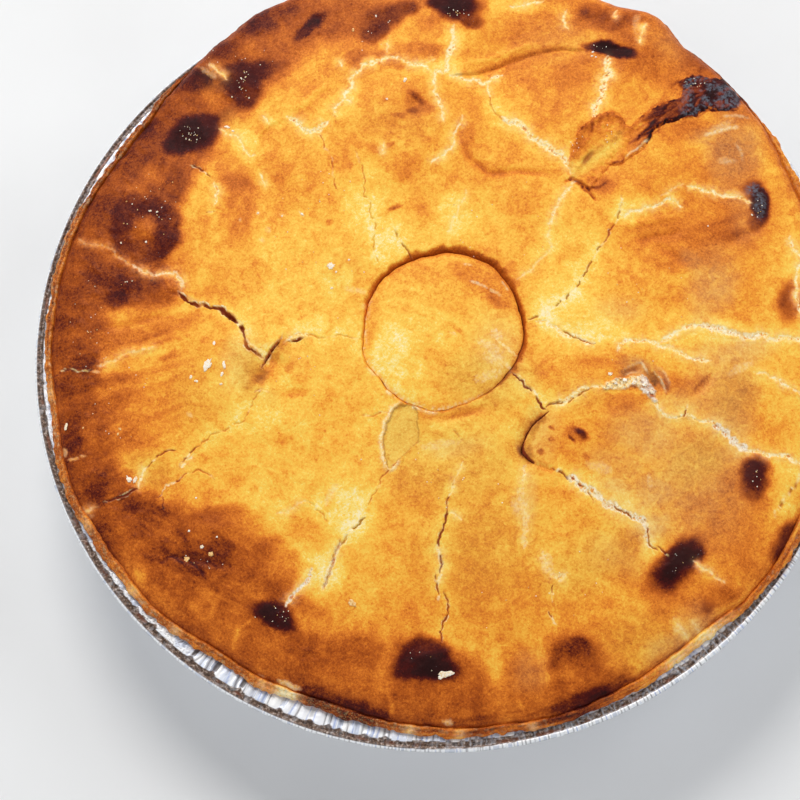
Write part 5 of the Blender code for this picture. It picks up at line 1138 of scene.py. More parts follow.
def make_crust():
    u, v, quads, tris, outer, inner = crust_mesh()
    x, y, r = lie(u, v)
    base = crust_height(x, y)
    lift, looks = crust(x, y, base)
    deg = (360.0 * u) % 360.0
    # the hole for the disc: its edge is pressed down and browned, widest behind and to the right
    wide = by_direction([(0, 0.9), (20, 1.1), (40, 1.6), (60, 1.9), (80, 2.1), (100, 1.8), (120, 1.5), (145, 1.3), (165, 1.1), (180, 0.7), (195, 0.5), (225, 0.5), (270, 0.6), (300, 0.6),
                         (316, 0.8), (328, 1.8), (340, 1.9), (352, 1.3)])(deg)
    deep = by_direction([(0, 2.0), (60, 2.2), (110, 2.5), (150, 2.0), (185, 1.4), (230, 0.7), (270, 0.6), (310, 0.9), (335, 1.8)])(deg)
    e = (r - pocket_radius(deg)) / MM
    wide = wide * np.clip(1 + 0.45 * noise(x / MM, y / MM, 4, 91, 2) + 0.45 * noise(x / MM, y / MM, 1.6, 94, 2), 0.35, 2)
    slope = ease(1.0 - e / wide)
    lift = lift * (1 - 0.6 * slope) - deep * MM * slope
    brown = by_direction([(0, 0.78), (50, 0.80), (75, 0.84), (95, 0.86), (115, 0.82), (135, 0.72), (165, 0.64), (180, 0.50), (195, 0.42), (215, 0.54), (240, 0.60), (270, 0.66), (300, 0.66),
                          (320, 0.78), (338, 0.84), (352, 0.80)])(deg)
    looks["tone"] += (np.maximum(brown, looks["tone"]) - looks["tone"]) * ease(1.35 - e / wide)
    # a dark line along the hole's edge behind and to the right: painted shade in the gap round the disc
    looks["dark"] = np.maximum(looks["dark"], 0.55 * ease(1.2 - e / 0.55) * (brown > 0.66))
    blush = ease((1.7 - e / 4.5)) * np.exp(-(((deg - 38 + 180) % 360 - 180) / 30.0) ** 2)
    looks["tone"] += 0.16 * blush * (1 - slope)
    for key in ("pale",):
        looks[key] *= 1 - 0.8 * slope
    # torn bits along its near left side
    scrap = np.exp(-(((e - 0.55) / 0.50) ** 2)) * ease(noise(x / MM, y / MM, 2.4, 131, 2) * 3.0 + 0.5)
    looks["pale"] = np.maximum(looks["pale"], 0.8 * scrap * by_direction([(190, 0.0), (204, 0.5), (222, 0.8), (246, 1.0), (262, 0.8), (268, 0.0), (0, 0.0), (100, 0.0)])(deg))
    z = TIN_H + base + lift

    points = [np.stack((x, y, z), 1)]
    faces_q, faces_t = [quads[:, ::-1]], [tris[:, ::-1]]
    count = len(x)
    all_looks = {k: [a] for k, a in looks.items()}

    def more(ring, last, given, flip=False):
        nonlocal count
        ids = np.arange(count, count + len(ring))
        points.append(ring)
        for k, a in given.items():
            all_looks[k].append(a)
        count += len(ring)
        a, b = (last, ids) if len(last) >= len(ids) else (ids, last)
        q, t = ladder(a, b)
        if (len(last) < len(ids)) != flip:
            q, t = q[:, ::-1], t[:, ::-1]
        faces_q.append(q[:, ::-1])
        faces_t.append(t[:, ::-1])
        return ids

    # rolled edge, groove, lip and underside, outwards from the last ring
    columns = len(outer)
    deg = 360.0 * np.arange(columns) / columns
    t = np.radians(deg)
    up, low = edge_form(deg)
    plain_up = upper_radius(deg)
    side = height_at(deg)
    hidden = ease((side - 5.0) / 2.0)
    groove = by_direction([(60, 0.5), (100, 0.6), (130, 0.6), (150, 0.7), (166, 1.0), (182, 0.8), (190, 0.15), (205, 0.05), (220, 0.15), (238, 0.35), (250, 0.5),
                           (260, 0.3), (272, 0.40), (285, 0.20), (300, 0.10), (330, 0.12), (350, 0.3)])(deg)
    groove = groove * np.clip(1 + 0.8 * noise(130 * np.cos(t), 130 * np.sin(t), 7, 122, 2), 0, 1.4)
    sheeted = by_direction([(195, 0.15), (222, 0.3), (245, 0.4), (262, 0.3), (274, 1.0), (330, 1.0), (352, 0.5), (60, 0.4), (110, 0.4), (150, 0.2)])(deg)
    last = outer
    steps = 15
    for k in range(1, steps + 1):
        share = STOP_SHARE + (1 - STOP_SHARE) * (1 - (1 - k / steps) ** 1.9)
        radius = plain_up * share + (up - plain_up) * ease((share - STOP_SHARE) / 0.05)
        rx, ry = radius * np.cos(t), radius * np.sin(t)
        flat_x, flat_y = plain_up * share * np.cos(t), plain_up * share * np.sin(t)
        h = crust_height(flat_x, flat_y)
        lift, given = crust(flat_x, flat_y, h)
        fold = (share - ROUND_FROM) / (1.0 - ROUND_FROM)
        low_h = GROOVE_H + 0.4 * MM
        fall = np.sqrt(max(0.0, 1.0 - fold**2.6))
        h = low_h + (h - low_h) * fall + lift * fall
        h += 0.12 * MM * noise(rx / MM, ry / MM, 2.5, 85, 2)
        # where the crust hides the rim, its tall edge shows faint layers
        given["tone"] = given["tone"] + hidden * 0.05 * (1 - fall) * noise(deg * 3, h / MM, 2.0, 86) + 0.10 * (1 - fall)
        # the groove at the foot of the rolled edge is painted darker, as shade, by how much it shows in each direction
        given["dark"] = np.maximum(given["dark"], (1 - hidden) * 0.25 * groove * ease((share - 0.993) / 0.007))
        given["tone"] = given["tone"] + (np.maximum(given["tone"], 0.90) - given["tone"]) * (1 - hidden) * groove * ease((share - 0.991) / 0.007)
        over = share * plain_up / MM
        sheets = noise(deg * 2.1 / 10.0, over + 0.4 * noise(deg * 2.1, over * 0, 14, 120), 0.55, 121, 2)
        given["tone"] = given["tone"] + 0.10 * sheeted * sheets * ease((share - 0.960) / 0.02) * (1 - given["burnt"])
        if k == 5:
            edge_tone = given["tone"] - 0.10 * sheeted * sheets * ease((share - 0.960) / 0.02)
        last = more(np.stack((rx, ry, TIN_H + h), 1), last, given)
    width = low - up
    xm, ym = 120 * np.cos(t), 120 * np.sin(t)
    arc = deg * 2.1
    cream = sum(s * np.exp(-(((deg - a + 180) % 360 - 180) / w) ** 2) for a, w, s in
                [(245.9, 1.5, 1.6), (242.2, 0.7, 0.3), (264.0, 0.9, 0.5), (271.0, 0.8, 0.3), (281.0, 0.8, 0.3), (186, 1.2, 0.3), (207, 1.0, 0.3), (219, 0.9, 0.35), (227.5, 0.8, 0.4), (303, 1.8, 0.5), (309, 3.2, 0.65)])
    ragged = 0.5 + 0.5 * noise(xm, ym, 16, 108, 2)
    front = ease(np.cos(np.radians(deg - 243)) * 1.6)
    # the lip takes up the browning of the crust beside it, more in some directions than in others
    window = np.hanning(15) / np.hanning(15).sum()
    edge_tone = np.convolve(np.concatenate((edge_tone[-7:], edge_tone, edge_tone[:7])), window, "valid")
    edge_burnt = np.clip((edge_tone - 0.98) / 0.1, 0, 1)
    follows = by_direction([(60, 0.8), (120, 0.7), (150, 0.40), (165, 0.20), (190, 0.25), (205, 0.45), (220, 0.65), (234, 0.65), (242, 0.45), (248, 0.95), (257, 0.95), (262, 0.25), (270, 0.25),
                            (277, 0.65), (285, 0.9), (294, 0.9), (302, 0.40), (315, 0.45), (330, 0.6), (0, 0.7)])(deg)
    core = by_direction([(20, 0.5), (130, 0.7), (150, 0.95), (172, 1.0), (182, 0.30), (230, 0.25), (255, 0.45), (270, 0.75), (300, 0.6), (330, 0.3)])(deg)
    crumbly = by_direction([(60, 0.3), (120, 0.5), (150, 1.0), (200, 1.0), (212, 0.7), (240, 0.8), (262, 0.6), (280, 0.4), (330, 0.3)])(deg)
    for share, height in [(0.06, 1.40), (0.14, 1.75), (0.22, 2.3), (0.31, 2.6), (0.40, 2.6), (0.49, 2.35), (0.57, 2.15), (0.65, 2.15), (0.73, 2.2), (0.81, 2.05), (0.89, 1.75), (0.95, 1.4), (1.0, 1.0), (0.985, 0.7), (0.93, 0.34)]:
        radius = up + width * share
        rx, ry = radius * np.cos(t), radius * np.sin(t)
        over = width / MM * share
        rough = 0.34 * noise(rx / MM, ry / MM, 2.6, 87, 2) + 0.46 * noise(rx / MM, ry / MM, 1.15, 88, 2) + 0.25 * noise(rx / MM, ry / MM, 6, 89, 1)
        on_top = ease((share - 0.10) / 0.15) * (1.0 if height > 1.2 else 0.3)
        filled = 0.75 * (1 - np.clip(groove / 0.5, 0, 1)) * float(ease(np.array((0.27 - share) / 0.2)))
        z = TIN_H + ((height + filled) * (1 - 0.40 * front * share) + rough * on_top * (1 - 0.3 * front)) * MM
        z = np.where(hidden > 0.5, np.minimum(z, TIN_H + (height * 0.8) * MM), z)
        z = np.maximum(z, TIN_H + 0.32 * MM)
        grain = noise(arc, over, 0.9, 90, 2)
        fibre = noise(arc / 3.2, over, 0.5, 92, 2)
        # a groove painted dark as shade, a golden crest, a darker core that comes and goes round the tin, and a light
        # fringe
        profile = [(0.0, 0.90), (0.09, 0.88), (0.20, 0.70), (0.33, 0.65), (0.50, 0.67), (0.75, 0.67), (0.90, 0.60), (1.0, 0.66)]
        tone = np.interp(share, [p[0] for p in profile], [p[1] for p in profile])
        tone = tone - (1 - groove) * 0.16 * ease(1 - share / 0.18)
        tone = tone + (edge_tone + 0.04 - tone) * follows
        within = math.exp(-(((share - 0.60) / 0.20) ** 2))
        sheets = noise(deg * 2.1 / 10.0, radius / MM + 0.4 * noise(deg * 2.1, over * 0, 14, 120), 0.55, 121, 2)
        tone = tone + 0.24 * core * within * (1 - follows) + (0.10 * grain + 0.07 * fibre) * (1 - 0.6 * sheeted) + 0.20 * sheeted * sheets + 0.05 * noise(rx / MM, ry / MM, 7, 93, 2) + 0.05 * (ragged - 0.5)
        tone -= 0.30 * np.clip(cream, 0, 1)
        tone += 0.12 * np.exp(-(((deg - 258 + 180) % 360 - 180) / 9.0) ** 2)
        light = crumbly * 0.42 * ease((grain + 0.6 * fibre - 0.30) / 0.3) * on_top * (1 - 0.7 * within * core) * (1 - 0.8 * follows * ease((edge_tone - 0.75) / 0.15))
        pale = np.maximum(np.clip(cream, 0, 1) * ease((share - 0.1) / 0.3) * (0.92 + 0.2 * fibre), light)
        darkness = 0.50 * ease(1 - share / 0.15) * (1 - hidden) * groove + 0.18 * ease((-grain - 0.44) / 0.3) * on_top * (1 - np.clip(cream, 0, 1))
        given = shade_list(columns, tone=tone, pale=np.clip(pale, 0, 1), dark=np.clip(darkness, 0, 1), crumb=on_top * (1 - 0.4 * hidden) * (0.85 - 0.45 * sheeted) * (1 - 0.8 * edge_burnt), burnt=0.8 * edge_burnt * follows, tan=0.20 * on_top)
        last = more(np.stack((rx, ry, z), 1), last, given)

    plain = lambda m: shade_list(m, tone=0.72)
    for radius, z, m in [(np.minimum(WALL_TOP_R + 1.5 * MM, low - 0.3 * MM), TIN_H + FIT, columns), (WALL_TOP_R + 0.25 * MM, TIN_H - 0.2 * MM, columns // 2),
                         (WALL_TOP_R - 0.36 * MM, TIN_H - 1.05 * MM, columns // 4), (104.0 * MM, 20.4 * MM, columns // 8),
                         (BASE_R + 2.95 * MM, FOIL + 2.4 * MM, columns // 16), (BASE_R + 1.8 * MM, FOIL + 0.95 * MM, columns // 16), (BASE_R, FOIL + FIT, columns // 16),
                         (60 * MM, FOIL + FIT, columns // 32), (30 * MM, FOIL + FIT, columns // 64)]:
        last = more(ring_xyz(radius, z, m), last, plain(m))
    # underside and pocket are closed with fans
    ids = np.array([count])
    points.append(np.array([[0.0, 0.0, FOIL + FIT]]))
    for k, a in shade_list(1, tone=0.72).items():
        all_looks[k].append(a)
    count += 1
    faces_t.append(np.stack((last, np.roll(last, -1), np.full(len(last), ids[0])), 1)[:, ::-1])
    # pocket wall and floor, inwards, painted darker the deeper they go, as shade in the hole
    last = inner
    m = len(inner)
    deg = 360.0 * np.arange(m) / m
    rim_h = TIN_H + DOME_H - DISC_SINK
    floor = rim_h - DISC_T - FIT
    wall_tone = by_direction([(0, 0.82), (130, 0.82), (170, 0.72), (200, 0.56), (255, 0.56), (300, 0.66), (330, 0.82)])(deg)
    wall_dark = by_direction([(0, 1.0), (150, 1.0), (190, 0.75), (260, 0.65), (300, 0.8), (330, 1.0)])(deg)
    z_here = np.concatenate(points)[inner, 2]
    for share, dark in [(0.2, 0.6), (0.5, 0.75), (0.8, 0.85), (1.0, 0.9)]:
        ring = ring_xyz(pocket_radius(deg), z_here + (floor - z_here) * share, m)
        last = more(ring, last, shade_list(m, tone=wall_tone, dark=dark * wall_dark, olive=0.5), flip=True)
    for share, div in [(0.8, 2), (0.5, 4), (0.2, 8)]:
        d2 = 360.0 * np.arange(m // div) / (m // div)
        last = more(ring_xyz(pocket_radius(d2) * share, floor, m // div), last, shade_list(m // div, tone=0.80, dark=0.9), flip=True)
    ids = np.array([count])
    points.append(np.array([[0.0, 0.0, floor]]))
    for k, a in shade_list(1, tone=0.8).items():
        all_looks[k].append(a)
    count += 1
    faces_t.append(np.stack((last, np.roll(last, -1), np.full(len(last), ids[0])), 1))
    looks = {k: np.concatenate(a) for k, a in all_looks.items()}
    return build("pie_crust", np.concatenate(points), np.concatenate(faces_q), np.concatenate(faces_t), looks)


# ------------------------------------------------------------------ materials
class Nodes:
    """Short names for building a node material."""

    def __init__(self, name):
        self.material = bpy.data.materials.new(name)
        self.material.use_nodes = True
        self.tree = self.material.node_tree
        self.tree.nodes.clear()
        self.out = self.tree.nodes.new("ShaderNodeOutputMaterial")
        self.shader = self.tree.nodes.new("ShaderNodeBsdfPrincipled")
        self.tree.links.new(self.shader.outputs[0], self.out.inputs[0])
        self.coords = self.tree.nodes.new("ShaderNodeTexCoord").outputs["Object"]

    def put(self, socket, value):
        if isinstance(value, bpy.types.NodeSocket):
            self.tree.links.new(value, socket)
        else:
            socket.default_value = value

    def set(self, **values):
        for key, value in values.items():
            self.put(self.shader.inputs[key.replace("_", " ")], value)

    def look(self, name):
        node = self.tree.nodes.new("ShaderNodeAttribute")
        node.attribute_name = name
        return node.outputs["Fac"]

    def maths(self, kind, a, b=0.0, clamp=False):
        node = self.tree.nodes.new("ShaderNodeMath")
        node.operation, node.use_clamp = kind, clamp
        self.put(node.inputs[0], a)
        self.put(node.inputs[1], b)
        return node.outputs[0]

    def noise(self, mm, detail=2.0, rough=0.5, twist=0.0, at=None):
        node = self.tree.nodes.new("ShaderNodeTexNoise")
        self.put(node.inputs["Vector"], at or self.coords)
        node.inputs["Scale"].default_value = 1000.0 / mm
        node.inputs["Detail"].default_value = detail
        node.inputs["Roughness"].default_value = rough
        node.inputs["Distortion"].default_value = twist
        return node.outputs["Fac"]

    def cells(self, mm, kind="F1"):
        node = self.tree.nodes.new("ShaderNodeTexVoronoi")
        node.feature = kind
        self.put(node.inputs["Vector"], self.coords)
        node.inputs["Scale"].default_value = 1000.0 / mm
        return node.outputs["Distance"]

    def spread(self, value, low, high, to_low=0.0, to_high=1.0):
        node = self.tree.nodes.new("ShaderNodeMapRange")
        self.put(node.inputs["Value"], value)
        for key, number in (("From Min", low), ("From Max", high), ("To Min", to_low), ("To Max", to_high)):
            self.put(node.inputs[key], number)
        return node.outputs["Result"]

    def ramp(self, value, stops):
        node = self.tree.nodes.new("ShaderNodeValToRGB")
        self.put(node.inputs["Fac"], value)
        ends = node.color_ramp.elements
        while len(ends) < len(stops):
            ends.new(0.5)
        for end, (place, colour) in zip(ends, stops):
            end.position = place
            end.color = (*colour, 1.0)
        return node.outputs["Color"]

    def mix(self, share, a, b):
        node = self.tree.nodes.new("ShaderNodeMix")
        node.data_type = "RGBA"
        self.put(node.inputs["Factor"], share)
        self.put([s for s in node.inputs if s.name == "A" and s.type == "RGBA"][0], a)
        self.put([s for s in node.inputs if s.name == "B" and s.type == "RGBA"][0], b)
        return [s for s in node.outputs if s.type == "RGBA"][0]

    def bump(self, height, distance, strength=1.0, after=None):
        node = self.tree.nodes.new("ShaderNodeBump")
        node.inputs["Strength"].default_value = strength
        node.inputs["Distance"].default_value = distance
        self.put(node.inputs["Height"], height)
        if after is not None:
            self.put(node.inputs["Normal"], after)
        return node.outputs["Normal"]


def rgb(r, g, b):
    """Linear values of a display colour."""
    return tuple(((c / 255 + 0.055) / 1.055) ** 2.4 if c > 10 else c / 255 / 12.92 for c in (r, g, b))


def rgba(r, g, b):
    return (*rgb(r, g, b), 1.0)


def under_haze(r, g, b):
    """Linear values of a crust colour, less the light that its sheen adds."""
    return tuple(max(0.0012, c - 0.011) for c in rgb(r, g, b))


BAKED = [(place, under_haze(*colour)) for place, colour in [
    (0.00, (255, 238, 190)), (0.09, (255, 228, 140)), (0.18, (254, 214, 98)), (0.27, (253, 199, 82)),
    (0.36, (251, 182, 70)), (0.44, (244, 159, 57)), (0.52, (231, 134, 50)), (0.60, (207, 111, 42)),
    (0.67, (178, 88, 35)), (0.735, (150, 71, 31)), (0.79, (114, 48, 27)), (0.85, (80, 31, 22)), (0.93, (54, 22, 17)), (1.00, (46, 19, 16))]]


def crust_material(name):
    n = Nodes(name)
    tone, pale, dark = n.look("tone"), n.look("pale"), n.look("dark")
    crumb = n.look("crumb")
    grain = n.noise(0.66, 3.0, 0.70, 0.6)
    mid = n.noise(3.0, 3.0, 0.58, 1.0)
    big = n.noise(10.0, 2.0, 0.5, 0.6)
    speck = n.cells(1.15)
    # baked dough is mottled where it is pale and smoother where it is dark; its torn rim is crumbly
    still = n.spread(n.look("burnt"), 0.1, 0.7, 1.0, 0.30)
    calm = n.maths("MULTIPLY", n.spread(tone, 0.34, 0.84, 1.22, 0.62), still)
    calmer = n.maths("MULTIPLY", n.spread(tone, 0.34, 0.84, 1.15, 0.45), still)
    lively = n.maths("ADD", calm, n.maths("MULTIPLY", crumb, 0.6))
    t = n.maths("ADD", tone, n.maths("MULTIPLY", n.maths("MULTIPLY", n.maths("SUBTRACT", grain, 0.5), 0.66), lively))
    t = n.maths("ADD", t, n.maths("MULTIPLY", n.maths("MULTIPLY", n.maths("SUBTRACT", mid, 0.5), 0.42), calmer))
    t = n.maths("ADD", t, n.maths("MULTIPLY", n.maths("SUBTRACT", big, 0.5), 0.14))
    # fine curled wrinkles, painted lighter along their crests as a highlight
    curl = n.maths("ABSOLUTE", n.maths("SUBTRACT", n.noise(2.2, 2.0, 0.5, 2.2), 0.5))
    crest = n.maths("MULTIPLY", n.spread(curl, 0.030, 0.004), n.spread(n.noise(8.0, 1.0), 0.46, 0.60), clamp=True)
    t = n.maths("SUBTRACT", t, n.maths("MULTIPLY", crest, 0.045))
    # light pinheads and orange freckles
    pin = n.spread(n.noise(0.55, 2.0, 0.6), 0.64, 0.74)
    t = n.maths("SUBTRACT", t, n.maths("MULTIPLY", pin, 0.13))
    freckle = n.maths("MULTIPLY", n.spread(n.cells(1.7), 0.30, 0.12), n.spread(n.noise(7.0, 1.0), 0.50, 0.62), clamp=True)
    t = n.maths("ADD", t, n.maths("MULTIPLY", freckle, 0.07))
    level = n.maths("DIVIDE", t, 1.25, clamp=True)
    colour = n.ramp(level, BAKED)
    # duller places: greyed tan, on the right side a painted sheen, and golden olive
    tan = n.maths("MULTIPLY", n.look("tan"), n.spread(mid, 0.3, 0.7, 0.35, 0.75), clamp=True)
    colour = n.mix(tan, colour, n.ramp(level, [
        (0.2, rgb(242, 200, 134)), (0.40, rgb(224, 166, 98)), (0.52, rgb(204, 140, 80)), (0.66, rgb(164, 100, 60)), (0.85, rgb(92, 50, 42))]))
    olive = n.maths("MULTIPLY", n.look("olive"), n.spread(mid, 0.25, 0.75, 0.45, 0.85), clamp=True)
    colour = n.mix(olive, colour, n.ramp(level, [
        (0.2, rgb(240, 202, 92)), (0.34, rgb(232, 178, 70)), (0.46, rgb(212, 148, 52)), (0.62, rgb(172, 110, 40)), (0.85, rgb(84, 40, 20))]))
    # burnt blisters: a dull bloom with light specks, which are painted glints
    bloom = n.maths("MULTIPLY", n.look("burnt"), n.spread(n.noise(2.4, 2.0, 0.6), 0.44, 0.70), clamp=True)
    colour = n.mix(n.maths("MULTIPLY", bloom, 0.08), colour, rgba(96, 58, 54))
    glint_dots = n.maths("MULTIPLY", n.look("burnt"), n.spread(speck, 0.14, 0.09), clamp=True)
    glint_dots = n.maths("MULTIPLY", glint_dots, n.spread(n.noise(5.0, 1.0), 0.54, 0.62), clamp=True)
    colour = n.mix(n.maths("MULTIPLY", glint_dots, 0.6), colour, rgba(176, 158, 160))
    # torn dough inside the splits
    paste = n.ramp(n.noise(0.85, 3.0, 0.6), [(0.30, rgb(240, 184, 98)), (0.42, rgb(254, 218, 138)), (0.56, rgb(255, 243, 198))])
    cool = n.ramp(n.noise(0.85, 3.0, 0.6), [(0.30, rgb(178, 150, 138)), (0.48, rgb(230, 216, 206)), (0.62, rgb(252, 247, 242))])
    paste = n.mix(n.look("grey"), paste, cool)
    colour = n.mix(pale, colour, paste)
    # loose crumbs and pores of torn dough, and blue-grey painted glints on the burnt filling and spots
    crumbs = n.maths("MULTIPLY", n.spread(crumb, 0.5, 0.9), n.spread(n.noise(0.5, 2.0, 0.6), 0.54, 0.63), clamp=True)
    colour = n.mix(n.maths("MULTIPLY", crumbs, 0.62), colour, rgba(238, 194, 128))
    pores = n.maths("MULTIPLY", n.spread(crumb, 0.5, 0.9), n.spread(n.cells(1.2), 0.52, 0.74), clamp=True)
    colour = n.mix(n.maths("MULTIPLY", pores, 0.55), colour, rgba(98, 44, 20))
    glints = n.maths("MULTIPLY", n.look("ash"), n.spread(n.noise(0.9, 3.0, 0.6), 0.40, 0.62), clamp=True)
    colour = n.mix(n.maths("MULTIPLY", glints, 0.72), colour, rgba(106, 112, 124))
    # dark: the brown inside open splits, and painted shade in the edge groove, round the disc and in its hole
    colour = n.mix(dark, colour, rgba(140, 56, 30))
    rough = n.spread(grain, 0.3, 0.7, 0.44, 0.60)
    rough = n.maths("ADD", rough, n.maths("MULTIPLY", pale, 0.25))
    rough = n.maths("ADD", rough, n.maths("MULTIPLY", n.look("burnt"), 0.14))
    rough = n.maths("SUBTRACT", rough, n.maths("MULTIPLY", n.look("ash"), 0.12))
    normal = n.bump(mid, 0.35 * MM, 0.5)
    normal = n.bump(grain, 0.12 * MM, 0.7, normal)
    n.set(Base_Color=colour, Roughness=rough, Normal=normal, Specular_IOR_Level=0.14)
    return n.material

crust_piece = make_crust()
crust_piece.data.materials.append(crust_material("crust"))
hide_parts("pie")
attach(crust_piece, "root")


# ------------------------------------------------------------------ the disc in the middle
def make_disc():
    rings = Rings()
    top = TIN_H + DOME_H - DISC_SINK
    crown = [(0.0, 1.0), (0.35, 0.88), (0.65, 0.58), (0.86, 0.22), (0.96, -0.1), (1.0, -0.5)]

    def at(share, m, z=None, drop=0.0, **fixed):
        deg = 360.0 * np.arange(m) / m
        t = np.radians(deg)
        jag = 0.38 + 0.10 * noise(30 * np.cos(t), 30 * np.sin(t), 3.0, 95, 2) + 0.16 * noise(30 * np.cos(t), 30 * np.sin(t), 9.0, 96, 1)
        x = (DISC_A * np.cos(t)) * share * (1 + jag * MM / 0.024 * share**3)
        y = (DISC_B * np.sin(t)) * share * (1 + jag * MM / 0.024 * share**3)
        x, y = x + disc_edge(deg) * np.cos(t) * share**3, y + disc_edge(deg) * np.sin(t) * share**3
        if z is None:
            h = np.interp(share, [c[0] for c in crown], [c[1] for c in crown]) * MM * DISC_CROWN / MM
            xm, ym = x / MM, y / MM
            h = h + (0.16 * noise(xm, ym, 9, 97, 2) + 0.05 * noise(xm, ym, 3, 98, 2) + 0.02 * noise(xm, ym, 1.2, 99, 1)) * MM * ease((1.02 - share) / 0.1)
            z = top + h - drop
        px, py = seen_at(x, y, top + 0.6 * MM)
        wx = px + 4 * noise(px, py, 22, 11, 2)
        wy = py + 4 * noise(px, py, 22, 13, 2)
        tone = np.full(m, 0.40)
        tone = pull(tone, wx, wy, [
            (400, 362, 34, 30, 40, 0.27, 0.7), (390, 345, 18, 34, 10, 0.19, 0.6), (418, 322, 26, 7, 22, 0.25, 0.6), (440, 300, 50, 18, 0, 0.44, 0.7), (436, 316, 26, 5, 36, 0.33, 0.7),
            (450, 285, 44, 12, 5, 0.47, 0.7), (440, 268, 44, 8, 0, 0.50, 0.6), (486, 284, 24, 15, 30, 0.60, 0.6), (498, 298, 13, 10, 25, 0.70, 0.5), (504, 284, 10, 14, -30, 0.66, 0.5),
            (474, 276, 26, 7, 18, 0.60, 0.5), (405, 305, 12, 10, 0, 0.46, 0.6), (478, 352, 20, 22, 0, 0.38, 0.7), (436, 362, 16, 11, 30, 0.53, 0.7), (446, 380, 30, 9, -8, 0.50, 0.7), (460, 392, 40, 10, -10, 0.48, 0.6), (398, 384, 14, 8, 40, 0.22, 0.7),
            (408, 310, 6, 4, 20, 0.56, 0.6), (445, 405, 40, 5, -3, 0.58, 0.5), (372, 322, 6, 22, 5, 0.50, 0.6), (452, 330, 10, 3, 35, 0.54, 0.5), (370, 305, 7, 12, 10, 0.56, 0.6)], 5)
        tone = tone + 0.05 * noise(px, py, 30, 21, 3) + 0.07 * noise(px, py, 11, 22, 2) + 0.03 * noise(px, py, 4, 25, 1)
        tone += 0.075 * noise((px * 0.9 + py * 0.45) / 4.0, (py * 0.9 - px * 0.45) / 1.0, 6.0, 24, 2) * ease((480 - px) / 60)
        rimmed = ease((share - 0.93) / 0.07)
        brown = by_direction([(0, 0.60), (60, 0.74), (100, 0.70), (150, 0.55), (200, 0.34), (250, 0.40), (300, 0.50)])(deg)
        tone = tone + (brown - tone) * rimmed * 0.8
        pale = np.zeros(m)
        fine = noise(px, py, 2.2, 51, 2)
        for sx, sy, rx, ry, turn, strength in [(480, 284, 9, 1.8, 20, 0.45), (496, 292, 8, 1.8, 28, 0.45), (468, 264, 6, 1.4, 5, 0.5), (505, 285, 7, 1.2, 55, 0.5),
                                               (454, 334, 4, 1.5, 20, 0.5), (505, 346, 14, 1.6, 40, 0.6), (508, 366, 20, 1.8, 40, 0.45), (497, 334, 9, 5, 40, 0.45), (490, 346, 12, 4, 20, 0.4), (495, 358, 12, 7, 35, 0.35), (488, 375, 14, 5, -20, 0.3)]:
            c, s = math.cos(math.radians(turn)), math.sin(math.radians(turn))
            u, v = ((px - sx) * c + (py - sy) * s) / rx, (-(px - sx) * s + (py - sy) * c) / ry
            pale = np.maximum(pale, strength * ease((1.2 - np.hypot(u, v) + 0.5 * fine) / 0.6) * (0.8 + 0.4 * fine))
        tan = 0.7 * np.exp(-(((px - 498) / 22) ** 2 + ((py - 350) / 30) ** 2))
        olive = 0.8 * ease(1.3 - np.hypot((px - 480) / 46, (py - 380) / 30))
        crumb = rimmed * ease(np.cos(np.radians(deg - 228)) * 1.4) * ease(0.5 + 1.4 * fine)
        pale = np.maximum(pale, 0.55 * crumb)
        looks = dict(tone=tone, pale=np.clip(pale, 0, 1), tan=np.clip(tan, 0, 1), olive=np.clip(olive, 0, 1), dark=0.0 * tone, burnt=0.0 * tone, grey=0.0 * tone, crumb=0.0 * tone, ash=0.0 * tone)
        for k, a in fixed.items():
            looks[k] = np.broadcast_to(a, (m,)).astype(float)
        return np.stack((x, y, np.broadcast_to(z, (m,))), 1), looks

    low = top - DISC_T
    plan = [(0.3, 60, low), (0.7, 120, low), (0.90, 240, low), (0.97, 480, low), (0.995, 480, low + 0.3 * MM), (1.0, 480, low + 2.0 * MM), (1.0, 480, low + 3.5 * MM)]
    start = ring_xyz(0.02 * DISC_A, low, 30)
    rings.add(start, tone=0.7, pale=0.0, tan=0.0, olive=0.0, dark=0.5, burnt=0.0, grey=0.0, crumb=0.0, ash=0.0)
    first = rings.last
    for share, m, z in plan:
        p, l = at(share, m, z=z)
        # the disc's underside and sides are painted darker, as shade in the gap round it
        l["dark"] = np.full(m, 0.45)
        l["tone"] = l["tone"] + 0.25
        rings.add(p, **l)
    for share, drop in [(1.0, 0.35 * MM), (0.998, 0.0), (0.99, 0.0), (0.98, 0.0)]:
        p, l = at(share, 480, drop=drop)
        rings.add(p, **l)
    share = 0.98
    m = 480
    while share > 0.02:
        share -= 2 * math.pi / 480 * min(1.0, max(share, 0.12)) if share > 0.5 else max(0.0065, 2 * math.pi * share / m * 1.0)
        if share < 0.02:
            break
        if m > 240 and share < 0.55:
            m = 240
        if m > 120 and share < 0.27:
            m = 120
        if m > 60 and share < 0.12:
            m = 60
        p, l = at(share, m)
        rings.add(p, **l)
    rings.close((0, 0, top + DISC_CROWN + 0.05 * MM), tone=0.4)
    # bottom centre
    ids = np.array([rings.count])
    rings.points.append(np.array([[0.0, 0.0, low]]))
    for key, have in rings.looks.items():
        have.append(np.array([0.5]))
    rings.count += 1
    rings.tris.append(np.stack((np.roll(first, -1), first, np.full(len(first), ids[0])), 1))
    return rings.piece("centre_disc_crust")


disc_piece = make_disc()
disc_piece.data.materials.append(crust_material("disc_crust"))
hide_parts("centre_disc")
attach(disc_piece, "root")
